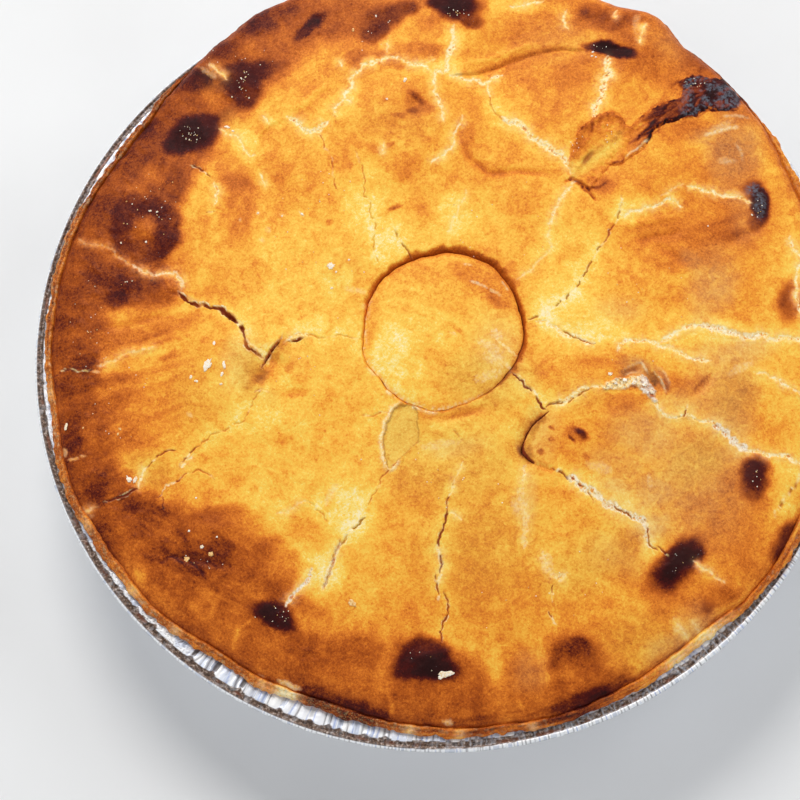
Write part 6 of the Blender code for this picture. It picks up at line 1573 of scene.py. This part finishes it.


# ------------------------------------------------------------------ loose flakes and crumbs on the crust, and fine light grains, those on the burnt spots painted glints
# centre, half sizes, turn, thickness in mm and kind: 0 cream flake, 1 golden crumb
FLAKES = [
    (207, 366, 3.4, 7.5, 28, 0.6, 0), (224, 365, 1.6, 4.6, -8, 0.5, 0), (222, 374, 1.4, 2.6, 20, 0.4, 0), (214, 343, 1.3, 2.2, 10, 0.4, 0), (191, 377, 1.3, 2.0, 0, 0.4, 0),
    (196, 381, 2.2, 1.3, 20, 0.4, 0), (221, 384, 1.5, 1.1, 0, 0.4, 0), (331, 266, 3.9, 3.6, 0, 0.5, 0), (336, 272, 1.2, 1.2, 0, 0.4, 0), (349, 260, 1.1, 1.0, 0, 0.3, 0),
    (332, 288, 1.5, 1.2, 0, 0.3, 0), (66, 427, 1.4, 3.6, 8, 0.4, 0), (129, 479, 2.2, 3.6, -35, 0.6, 0), (135, 480, 2.0, 3.4, 30, 0.6, 0), (352, 603, 4.6, 2.6, 35, 0.5, 1),
    (446, 674, 8.6, 3.0, -8, 0.7, 0), (441, 677, 3.2, 1.8, -20, 0.5, 0), (187, 559, 3.2, 3.2, 0, 1.0, 1), (202, 547, 2.0, 1.7, 0, 0.7, 0), (189, 531, 1.3, 1.2, 0, 0.5, 0),
    (211, 554, 2.6, 2.4, 0, 0.6, 1), (217, 537, 1.0, 0.9, 0, 0.4, 0), (196, 498, 1.2, 1.0, 0, 0.4, 0), (120, 429, 1.8, 1.2, 30, 0.4, 1),
    (118, 434, 1.0, 1.3, 0, 0.4, 1), (405, 80, 1.8, 2.6, 10, 0.5, 0), (387, 99, 1.4, 1.2, 0, 0.4, 0), (227, 127, 3.2, 1.2, 28, 0.4, 0), (233, 131, 1.6, 0.9, 30, 0.4, 0),
    (593, 52, 1.5, 0.9, 0, 0.4, 0), (592, 56, 1.3, 1.0, 20, 0.4, 0), (596, 57, 1.0, 0.8, 0, 0.3, 0), (524, 466, 1.2, 1.0, 0, 0.4, 1), (302, 214, 2.2, 1.0, 40, 0.4, 0),
    (258, 213, 1.0, 0.9, 0, 0.3, 0), (353, 30, 1.2, 2.0, 10, 0.5, 1), (376, 16, 0.9, 1.4, 0, 0.4, 0), (282, 216, 1.0, 0.8, 0, 0.3, 0), (150, 211, 1.6, 1.0, 20, 0.4, 0),
    (157, 212, 1.4, 1.0, 0, 0.4, 0), (146, 242, 1.2, 1.0, 0, 0.4, 0), (121, 243, 1.0, 0.9, 0, 0.4, 0), (83, 428, 0.9, 1.0, 0, 0.4, 1), (610, 374, 2.4, 1.6, -20, 0.6, 0),
    (634, 383, 3.0, 2.0, -30, 0.8, 0), (644, 385, 2.6, 1.8, 20, 0.8, 0), (625, 380, 2.8, 1.7, -15, 0.7, 0), (652, 392, 2.2, 1.6, 50, 0.7, 0), (616, 383, 2.0, 1.4, 10, 0.6, 0),
    (752, 215, 1.2, 1.0, 0, 0.4, 0), (708, 226, 0.8, 0.8, 0, 0.3, 0), (249, 98, 0.9, 0.8, 0, 0.4, 0), (232, 97, 0.9, 0.8, 0, 0.4, 0), (241, 78, 0.9, 0.9, 0, 0.4, 0),
]
# centre, spread, how many and how large: fine light grains; on the burnt spots they stand in for glints, as painted
# highlights
GRAINS_AND_GLINTS = [
    (191, 134, 14, 9, 26, 0.50), (243, 84, 8, 14, 16, 0.50), (458, 12, 15, 6, 16, 0.50), (426, 660, 20, 13, 5, 0.42), (274, 615, 22, 9, 12, 0.46), (682, 560, 16, 12, 6, 0.42),
    (755, 475, 6, 16, 7, 0.48), (757, 206, 6, 14, 6, 0.50), (144, 222, 30, 26, 12, 0.52), (92, 320, 24, 50, 18, 0.48), (602, 48, 14, 4, 4, 0.46), (578, 144, 8, 10, 10, 0.50),
    (612, 134, 12, 10, 8, 0.50), (694, 83, 12, 5, 12, 0.55), (200, 560, 26, 10, 8, 0.50), (330, 230, 60, 60, 24, 0.46), (500, 230, 60, 60, 16, 0.46), (240, 60, 40, 24, 10, 0.48),
    (380, 40, 40, 20, 7, 0.48), (430, 480, 90, 40, 14, 0.50), (640, 300, 60, 70, 16, 0.50), (120, 400, 30, 60, 14, 0.50), (560, 600, 90, 50, 14, 0.50), (300, 360, 60, 60, 14, 0.50),
    (160, 190, 40, 26, 12, 0.55), (128, 282, 8, 6, 4, 0.65),
]


def on_crust(px, py):
    """The crust's surface under places of the view."""
    ahead = AHEAD[None] + RIGHT[None] * ((px - PICTURE / 2) / FOCAL)[:, None] + UP[None] * ((PICTURE / 2 - py) / FOCAL)[:, None]
    z = np.full(len(px), TIN_H + DOME_H)
    for _ in range(9):
        far = (z - CAM[2]) / ahead[:, 2]
        x, y = CAM[0] + ahead[:, 0] * far, CAM[1] + ahead[:, 1] * far
        z = TIN_H + crust_height(x, y)
    lift, _ = crust(x, y, z - TIN_H)
    z = z + lift
    for _ in range(2):
        far = (z - CAM[2]) / ahead[:, 2]
        x, y = CAM[0] + ahead[:, 0] * far, CAM[1] + ahead[:, 1] * far
    return x, y, z


def make_lumps(name, things, columns, sink):
    """Small closed lumps lying on the crust, each with its own ragged outline."""
    things = np.array(things, float)
    x, y, z = on_crust(things[:, 0], things[:, 1])
    slope_x = (on_crust(things[:, 0] + 3, things[:, 1])[2] - on_crust(things[:, 0] - 3, things[:, 1])[2]) / (6 * 0.306 * MM)
    slope_y = (on_crust(things[:, 0], things[:, 1] - 3)[2] - on_crust(things[:, 0], things[:, 1] + 3)[2]) / (6 * 0.33 * MM)
    slope_x, slope_y = np.clip(slope_x, -0.8, 0.8), np.clip(slope_y, -0.8, 0.8)
    points, quads, tris, own, kind = [], [], [], [], []
    turn = 2 * math.pi * np.arange(columns) / columns
    count = 0
    levels = [(0.80, 0.0), (1.0, 0.35), (0.98, 0.72), (0.84, 0.96), (0.42, 1.0)]
    for k, (px, py, rx, ry, angle, thick, which) in enumerate(things):
        c, s = math.cos(math.radians(-angle)), math.sin(math.radians(-angle))
        rag = 0.92 + 0.34 * noise(np.cos(turn) * 2 + 9.1 * k, np.sin(turn) * 2, 1.1, 501, 2) + 0.24 * noise(np.cos(turn) * 2 + 9.1 * k, np.sin(turn) * 2, 0.42, 502, 1)
        lift = thick * (0.62 if columns > 12 else 1.0) * MM
        first = count
        for share, up in levels:
            u = rx * 0.306 * MM * np.cos(turn) * rag * share
            v = ry * 0.325 * MM * np.sin(turn) * rag * share
            dx, dy = u * c - v * s, u * s + v * c
            dz = lift * up * (1 + 0.25 * noise(dx / MM + 3 * k, dy / MM, 0.8, 503, 1)) - sink * lift
            points.append(np.stack((x[k] + dx, y[k] + dy, z[k] + dx * slope_x[k] + dy * slope_y[k] + dz), 1))
            count += columns
        points.append(np.array([[x[k], y[k], z[k] - sink * lift - 0.02 * MM], [x[k], y[k], z[k] + lift * (1.03 - sink)]]))
        ids = [np.arange(columns) + first + j * columns for j in range(len(levels))]
        for a, b in zip(ids, ids[1:]):
            quads.append(np.stack((a, np.roll(a, -1), np.roll(b, -1), b), 1))
        tris.append(np.stack((np.roll(ids[0], -1), ids[0], np.full(columns, count)), 1))
        tris.append(np.stack((ids[-1], np.roll(ids[-1], -1), np.full(columns, count + 1)), 1))
        count += 2
        own.append(np.full(columns * len(levels) + 2, chance(k, 17, 4)))
        kind.append(np.full(columns * len(levels) + 2, which))
    return build(name, np.concatenate(points), np.concatenate(quads), np.concatenate(tris), {"own": np.concatenate(own), "kind": np.concatenate(kind)})


def crumb_material(name):
    n = Nodes(name)
    grain = n.noise(0.5, 3.0, 0.6)
    cream = n.ramp(grain, [(0.32, rgb(236, 196, 138)), (0.44, rgb(254, 236, 200)), (0.56, rgb(255, 251, 238))])
    golden = n.ramp(grain, [(0.30, rgb(206, 138, 66)), (0.46, rgb(240, 184, 104)), (0.62, rgb(254, 222, 160))])
    colour = n.mix(n.look("kind"), cream, golden)
    shade = n.spread(n.look("own"), 0.0, 1.0, 0.0, 0.22)
    colour = n.mix(shade, colour, rgba(226, 180, 122))
    n.set(Base_Color=colour, Roughness=n.spread(grain, 0.3, 0.7, 0.50, 0.66), Normal=n.bump(grain, 0.10 * MM, 0.6), Specular_IOR_Level=0.3)
    return n.material


def scatter():
    """The fine light grains, some of them painted glints, placed by a fixed seed."""
    rng = np.random.RandomState(41)
    out = []
    for x0, y0, rx, ry, many, size in GRAINS_AND_GLINTS:
        for _ in range(many):
            a, r = rng.uniform(0, 2 * math.pi), rng.uniform(0, 1) ** 0.7
            big = size * rng.uniform(0.7, 1.35)
            out.append((x0 + rx * r * math.cos(a), y0 + ry * r * math.sin(a), big * rng.uniform(0.8, 1.4), big, rng.uniform(0, 180), 0.22 * rng.uniform(0.8, 1.3), float(rng.uniform() < 0.25)))
    return out


for piece_name, things, columns, sink in [("crust_flakes", FLAKES, 22, 0.25), ("crust_grains", scatter(), 8, 0.25)]:
    lumps = make_lumps(piece_name, things, columns, sink)
    lumps.data.materials.append(crumb_material(piece_name))
    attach(lumps, "root")


# ------------------------------------------------------------------ the foil tin
def make_tin():
    rings = Rings()
    n0 = 2304  # columns round the rim
    rng = np.random.RandomState(7)
    folds = [231.5, 235.2, 239.6, 245.8, 250.3, 252.9, 254.4]
    at = 258.0
    while at < 360 + 227:
        folds.append(at % 360)
        at += rng.uniform(2.6, 5.4)
    folds = np.array(sorted(folds))

    def deep_fold(deg):
        """1 in the middle of each big fold, 0 between them."""
        near = np.searchsorted(folds, deg) % len(folds)
        best = np.full(len(deg), 9.0)
        for k in (near, near - 1):
            best = np.minimum(best, np.abs((deg - folds[k] + 180) % 360 - 180))
        return np.exp(-((best * 2.05 / 0.62) ** 2)), ease((0.82 - best * 2.05) / 0.22), best * 2.05

    def pleat(deg):
        """Sharp, uneven small creases of pressed foil, -1 to 1."""
        arc = deg * 2.05
        bend = noise(arc, arc * 0, 9, 101, 1) * 1.1
        saw = np.abs((arc / 2.1 + bend) % 1.0 - 0.5) * 4 - 1
        return saw * (0.55 + 0.45 * noise(arc, arc * 0 + 4, 7, 102, 1))

    def add(r, z, m, fold=0.0, rough=0.0, fold_out=0.0, deep=0.0, tick=0.0, band=0.0, soot=0.0, slot=0.0, bright=0.0, dash=0.0, pleats=0.0):
        """r, z in mm. fold lifts and fold_out moves outwards by the small creases, deep sinks the big folds, tick bites the rim, pleats stand out from the wall."""
        deg = 360.0 * np.arange(m) / m
        t = np.radians(deg)
        x, y = r * np.cos(t), r * np.sin(t)
        p, (big, bar, off) = pleat(deg), deep_fold(deg)
        inward = by_direction([(225, 0.0), (258, 0.0), (270, 0.45), (283, 0.85), (345, 0.95), (0, 0.8), (60, 0.3), (100, 0.0)])(deg)
        c = 0.5 * noise(x, y, 4.0, 103, 2) + 0.3 * noise(x, y, 1.3, 104, 1)
        arc = deg * 2.05
        # pressed facets, each with its own slant and a painted shade, and the sharp creases between them, painted as
        # dark and bluish lines
        over = r - 117.0
        q = arc + over * (0.30 * noise(arc, arc * 0 + 9, 5.0, 111, 1)) + 0.30 * noise(arc, arc * 0 + over * 0.5, 2.0, 112, 1)
        cell = np.floor(q / 1.55).astype(np.int64)
        own = chance(cell, cell * 0 + 3, 5)
        place = q / 1.55 - cell - 0.5 - 0.35 * (chance(cell, cell * 0 + 4, 6) - 0.5)
        wide = 0.14 + 0.16 * chance(cell, cell * 0 + 5, 7)
        line = np.exp(-((place * 1.55 / wide) ** 2))
        # in the narrow part at the left the foil is crumpled into curved lines instead, painted dark as shade
        w = 0.5 * np.sin(noise(x, y, 3.2, 113, 2) * 16.0) + 0.5
        curved = np.exp(-(((w - 0.5) / 0.16) ** 2))
        narrow = ease((233 - deg) / 4.0) * ease((deg - 150) / 10.0)
        ink = line * (own < 0.34) * (1 - narrow) + curved * 0.8 * narrow
        blue = line * ((own >= 0.34) & (own < 0.62)) * (1 - narrow)
        facet = chance(cell, cell * 0 + 6, 8) * (1 - narrow) + narrow * (0.5 + 0.5 * noise(x, y, 2.4, 114, 1))
        lift = fold * p * (1 - 0.5 * narrow) - 0.5 * fold * line * (own < 0.62) - fold * curved * narrow
        rr = r + fold_out * p + rough * 0.6 * c
        zz = z + lift + rough * c - deep * big
        cross = np.exp(-((place * 1.55 / 0.17) ** 2)) * (own < 0.55)
        if tick:
            bite = ease(noise(deg * 2.05, deg * 0.0, 0.8, 105, 2) * 2.2 - 0.2) * ease(0.45 + 0.9 * noise(deg * 2.0, deg * 0.0, 9.0, 110, 2))
            rr = rr - tick * bite * 0.6
            zz = zz - tick * bite
        if tick or r > 120.0 and bright + band > 0:
            # the rolled edge is pinched into short lengths, most clearly at the front right, with painted dark and
            # bluish lines at the pinches
            small = arc / 1.15 + 0.8 * noise(arc, arc * 0 + 3, 3.0, 115, 1)
            own = chance(np.floor(small).astype(np.int64), np.zeros(m, np.int64), 9)
            place = (small - np.floor(small) - 0.5) * 1.15
            many = by_direction([(150, 0.30), (225, 0.35), (262, 0.7), (290, 1.0), (335, 1.0), (350, 0.6), (60, 0.5)])(deg)
            line = np.exp(-((place / 0.13) ** 2))
            ink, blue = line * (own < 0.5) * many, line * ((own >= 0.5) & (own < 0.85)) * many
            zz = zz - (0.10 if tick else 0.05) * line * many
            facet = 0.55 + 0.45 * own
        # the painted dark band on the flange, standing in for a dark reflection
        if band < 0:  # its inner edge goes in and out with the facets
            front_left = ease(np.cos(np.radians(deg - 240)) * 6.0 - 5.0)
            band = ease((r - 119.75 + inward - 0.50 * (own - 0.5) + 0.9 * front_left * ease(1.0 - off / 1.5)) / 0.20)
        elif r > 120.0:
            beyond = ease((r - 121.95 + 1.05 * inward + 0.2 * noise(arc, arc * 0 + 6, 1.2, 124, 2)) / 0.25) * ease(inward / 0.2)
            band, bright = band * (1 - beyond), np.maximum(bright, beyond * (band > 0))
        # the wall's pleats are painted with one flank darker and one lighter, and a dark crease line between them
        if pleats:  # the wall's upright pleats, each with two flanks and a crease on either side
            run = arc + 1.1 * noise(arc, arc * 0 + 21, 11.0, 125, 1) + 0.35 * noise(arc, arc * 0 + over * 0.2, 5.0, 126, 1)
            cell = np.floor(run / 3.6).astype(np.int64)
            place = run / 3.6 - cell - 0.5
            own, other = chance(cell, cell * 0 + 8, 12), chance(cell, cell * 0 + 9, 13)
            rr = rr + pleats * (1 - 2 * np.abs(place)) * (0.55 + 0.45 * own)
            facet = np.where(place < 0.2 * (other - 0.5), 0.10 + 0.34 * own, 0.56 + 0.34 * other)
            ink, blue = 0.55 * np.exp(-(((0.5 - np.abs(place)) * 3.6 / 0.5) ** 2)) * (other < 0.6), 0.0
        block = 0.0
        if r > 118.2 and r < 122.6:
            right = by_direction([(225, 0.0), (262, 0.25), (274, 0.8), (285, 1.0), (340, 1.0), (0, 0.7), (60, 0.5), (150, 0.4), (170, 0.1)])(deg)
            along = ease((noise(arc, arc * 0 + r * 1.4, 0.9, 123, 2) - 0.18) / 0.25) * 0.45
            block = right * np.clip(np.maximum(0.0 if tick else cross, along), 0, 1)
        # dash is a painted dark reflection along the outside of the bead
        if dash:  # a broken dark line round the outside of the rolled edge
            ink = np.maximum(ink, dash * ease((noise(arc, arc * 0 + 1, 1.6, 116, 2) + 0.35) / 0.4))
        rings.add(np.stack((rr * MM * np.cos(t), rr * MM * np.sin(t), zz * MM), 1), band=band, soot=soot, slot=slot * bar * (0.42 + 0.58 * (np.abs(deg - 235.5) < 6)),
                  bright=bright, ink=ink * (bright > 0.3), blue=blue * (bright > 0.3), facet=facet * (bright > 0.3), block=block)

    # inner face, from the middle outwards
    t0 = FOIL / MM
    add(4, t0, 72)
    first = rings.last
    add(45, t0, 144)
    add(90.5, t0, 288)
    add(92.5, t0 + 0.6, 288)
    add(93.8, t0 + 2.2, 576)
    add(98.8, 11.0, 576, fold_out=0.1)
    add(106.6, 24.0, 576, fold_out=0.15)
    add(112.2, 33.2, 1152, fold_out=0.25)
    add(113.6, 35.4, 1152, fold_out=0.28)
    add(114.4, 36.2, 1152, fold_out=0.28)
    # the flange: pressed facets, with painted shade in the slots of the big folds
    for r, z, f, b, s in [(114.9, 37.45, 0.06, 0.0, 0.6), (115.4, 37.60, 0.12, 0.0, 0.9), (116.0, 37.66, 0.15, 0.0, 1.0), (116.6, 37.72, 0.16, 0.0, 1.0),
                          (117.2, 37.77, 0.16, 0.0, 1.0), (117.8, 37.81, 0.15, 0.0, 1.0), (118.3, 37.84, 0.13, 0.0, 0.9), (118.7, 37.87, 0.11, -1.0, 0.6), (119.0, 37.89, 0.09, -1.0, 0.3),
                          (119.25, 37.90, 0.06, -1.0, 0.0), (119.45, 37.91, 0.04, -1.0, 0.0), (119.65, 37.91, 0.03, -1.0, 0.0), (119.85, 37.90, 0.02, -1.0, 0.0)]:
        add(r, z, n0, fold=f, rough=0.08, band=b, deep=0.30 * s, slot=s, bright=1.0)
    # the outer flange, wholly under the painted dark band
    for r, z, b, so in [(120.05, 37.86, 1.0, 0.4), (120.3, 37.78, 1.0, 0.8), (120.55, 37.72, 1.0, 1.0), (120.8, 37.70, 1.0, 0.9), (121.0, 37.73, 1.0, 0.5)]:
        add(r, z, n0, rough=0.12, band=b, soot=so)
    # rolled bead: its inner half carries the painted dark band, and its outer half is bright
    cr, cz, rad = 121.62, 37.14, 0.86
    for a, b, bright, dash in [(128, 1.0, 0.0, 0.0), (108, 1.0, 0.0, 0.0), (92, 1.0, 0.3, 0.0), (78, 0.8, 0.4, 0.0), (68, 0.0, 1.0, 0.0), (56, 0.0, 1.0, 0.0), (40, 0.0, 1.0, 0.0), (22, 0.0, 1.0, 0.4),
                               (6, 0.1, 1.0, 0.6), (-12, 0.1, 1.0, 0.6), (-36, 0.0, 0.0, 0.0), (-62, 0.0, 0.0, 0.0), (-90, 0.0, 0.0, 0.0), (-120, 0.0, 0.0, 0.0), (-150, 0.0, 0.0, 0.0), (-176, 0.0, 0.0, 0.0)]:
        q = math.radians(a)
        add(cr + rad * math.cos(q), cz + rad * math.sin(q), n0, tick=0.10 if -40 < a < 100 else 0.03, rough=0.04, band=b, bright=bright, dash=dash)
    # under the flange and down the outside
    add(120.2, 37.2, n0, rough=0.03)
    add(118.6, 37.42, 1152, fold=0.02, rough=0.03)
    add(116.6, 37.15, 1152, fold=0.08, fold_out=0.1)
    add(115.6, 36.7, 1152, fold_out=0.22)
    add(115.0, 35.6, 1152, fold_out=0.10, pleats=0.3, bright=0.45)
    add(112.9, 33.0, 1152, fold_out=0.06, pleats=0.6, bright=0.45)
    for k in range(1, 9):
        s = k / 9
        add(112.7 + (94.6 - 112.7) * s, 33.0 + (3.2 - 33.0) * s, 1152, fold_out=0.06 * (1 - s), rough=0.04, pleats=0.62 * (1 - 0.75 * s), bright=0.45 * (1 - 0.3 * s))
    add(94.15, 2.35, 576, fold_out=0.1)
    add(93.6, 1.3, 576)
    add(92.7, 0.4, 288)
    add(90.6, 0.0, 288)
    # pressed rings of the base
    for r, z in [(84, 0.0), (82.6, 0.28), (80.8, 0.28), (79.4, 0.0), (50, 0.0), (48.6, 0.28), (46.8, 0.28), (45.4, 0.0)]:
        add(r, z, 288 if r > 60 else 144)
    add(4, 0.0, 72)
    rings.close((0, 0, 0.0), soot=0.0)
    ids = np.array([rings.count])
    rings.points.append(np.array([[0.0, 0.0, FOIL]]))
    for key, have in rings.looks.items():
        have.append(np.array([0.0]))
    rings.count += 1
    rings.tris.append(np.stack((np.roll(first, -1), first, np.full(len(first), ids[0])), 1))
    return rings.piece("foil_tin_pressed", turned=True)


def foil_material():
    n = Nodes("pressed_foil")
    # scuffs, fine crinkle, and a dark brown-grey band along the flange painted in place of a dark reflection
    crumple = n.noise(3.4, 3.0, 0.6, 0.8)
    fine = n.noise(0.9, 3.0, 0.6)
    band, soot, bright = n.look("band"), n.look("soot"), n.look("bright")
    metal = n.ramp(crumple, [(0.30, rgb(226, 231, 242)), (0.50, rgb(241, 244, 250)), (0.68, rgb(252, 253, 255))])
    # each facet's painted shade, from bluish grey to white, then the creases' painted bluish reflections and dark shade
    pressed = n.ramp(n.look("facet"), [(0.0, rgb(176, 184, 204)), (0.28, rgb(228, 235, 250)), (0.5, rgb(248, 250, 255)), (0.85, rgb(255, 255, 255)), (1.0, rgb(206, 212, 226))])
    metal = n.mix(n.spread(bright, 0.3, 0.6), metal, pressed)
    metal = n.mix(n.maths("MULTIPLY", n.look("blue"), 0.75), metal, rgba(120, 146, 208))
    metal = n.mix(n.maths("MULTIPLY", n.look("ink"), 0.85), metal, rgba(92, 86, 92))
    # the dark band: a painted reflection, brown-grey, with lighter breaks towards the right
    painted_reflection = n.ramp(fine, [(0.34, rgb(48, 32, 24)), (0.48, rgb(88, 66, 52)), (0.58, rgb(128, 104, 88)), (0.70, rgb(196, 184, 176))])
    painted_reflection = n.mix(n.maths("MULTIPLY", n.look("block"), 0.85), painted_reflection, rgba(186, 188, 196))
    share = n.maths("MULTIPLY", band, n.spread(n.noise(2.2, 3.0, 0.6), 0.30, 0.48, 0.75, 1.0), clamp=True)
    colour = n.mix(share, metal, painted_reflection)
    drips = n.maths("MULTIPLY", soot, n.spread(n.noise(6.0, 2.0, 0.5), 0.54, 0.66), clamp=True)
    colour = n.mix(n.maths("MULTIPLY", drips, 0.6), colour, rgba(132, 66, 34))
    # painted shade in the deep slots of the big folds
    colour = n.mix(n.spread(n.look("slot"), 0.30, 0.75, 0.0, 0.88), colour, rgba(88, 78, 76))
    rough = n.spread(fine, 0.3, 0.7, 0.20, 0.34)
    rough = n.maths("ADD", rough, n.maths("MULTIPLY", share, 0.15))
    rough = n.maths("ADD", rough, n.maths("MULTIPLY", bright, 0.12))
    # the wall is calmer than the flange
    calm = n.noise(3.4, 2.0, 0.5)
    height = n.maths("ADD", calm, n.maths("MULTIPLY", n.spread(bright, 0.5, 0.9), n.maths("SUBTRACT", crumple, calm)))
    normal = n.bump(height, 0.25 * MM, 0.5)
    normal = n.bump(fine, 0.05 * MM, 0.45, normal)
    shine = n.maths("SUBTRACT", n.spread(share, 0.1, 0.9, 0.88, 0.35), n.maths("MULTIPLY", bright, 0.72))
    n.set(Base_Color=colour, Roughness=rough, Normal=normal, Metallic=n.maths("MAXIMUM", shine, 0.12))
    return n.material

tin_piece = make_tin()
tin_piece.data.materials.append(foil_material())
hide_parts("foil_tin")
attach(tin_piece, "root")

# ------------------------------------------------------------------ floor and light
floor_mesh = bpy.data.meshes.new("floor")
floor_mesh.from_pydata([(-3, -3, 0), (3, -3, 0), (3, 3, 0), (-3, 3, 0)], [], [(0, 1, 2, 3)])
floor = bpy.data.objects.new("floor", floor_mesh)
floor.location.z = -0.0002
bpy.context.scene.collection.objects.link(floor)
pale_floor = Nodes("pale_floor")
pale_floor.set(Base_Color=pale_floor.ramp(pale_floor.noise(60.0, 2.0), [(0.3, (0.86, 0.86, 0.86)), (0.7, (0.90, 0.90, 0.90))]), Roughness=0.9)
floor_mesh.materials.append(pale_floor.material)

world = bpy.data.worlds.new("studio")
bpy.context.scene.world = world
world.use_nodes = True
wt = world.node_tree
wt.nodes.clear()
w_out = wt.nodes.new("ShaderNodeOutputWorld")
w_bg = wt.nodes.new("ShaderNodeBackground")
w_co = wt.nodes.new("ShaderNodeTexCoord")
w_sep = wt.nodes.new("ShaderNodeSeparateXYZ")
w_ramp = wt.nodes.new("ShaderNodeValToRGB")
wt.links.new(w_co.outputs["Generated"], w_sep.inputs[0])
wt.links.new(w_sep.outputs["Z"], w_ramp.inputs[0])
wt.links.new(w_ramp.outputs[0], w_bg.inputs[0])
wt.links.new(w_bg.outputs[0], w_out.inputs[0])
stops = [(0.0, (0.62, 0.66, 0.72)), (0.30, (0.92, 0.96, 1.0)), (0.60, (0.78, 0.80, 0.83)), (0.80, (0.40, 0.39, 0.38)), (0.93, (0.15, 0.14, 0.13))]
while len(w_ramp.color_ramp.elements) < len(stops):
    w_ramp.color_ramp.elements.new(0.5)
for end, (place, colour) in zip(w_ramp.color_ramp.elements, stops):
    end.position, end.color = place, (*colour, 1.0)
w_bg.inputs["Strength"].default_value = 0.82


def lamp(name, azimuth, elevation, distance, size, power, colour=(1, 1, 1)):
    data = bpy.data.lights.new(name, "AREA")
    data.shape, data.size = "DISK", size
    data.energy, data.color = power, colour
    obj = bpy.data.objects.new(name, data)
    a, e = math.radians(azimuth), math.radians(elevation)
    place = np.array([math.cos(e) * math.cos(a), math.cos(e) * math.sin(a), math.sin(e)]) * distance
    obj.location = place
    from mathutils import Vector
    obj.rotation_euler = Vector(-place).to_track_quat("-Z", "Y").to_euler()
    bpy.context.scene.collection.objects.link(obj)
    return obj


lamp("key", 104, 50, 1.6, 0.75, 13.6, (1.0, 0.985, 0.96))
lamp("fill", 25, 42, 1.8, 0.9, 4.6, (0.94, 0.97, 1.0))
lamp("front", 236, 54, 1.8, 1.2, 3.2, (0.97, 0.985, 1.0))

bpy.context.scene.view_settings.view_transform = "Standard"
bpy.context.scene.view_settings.look = "None"
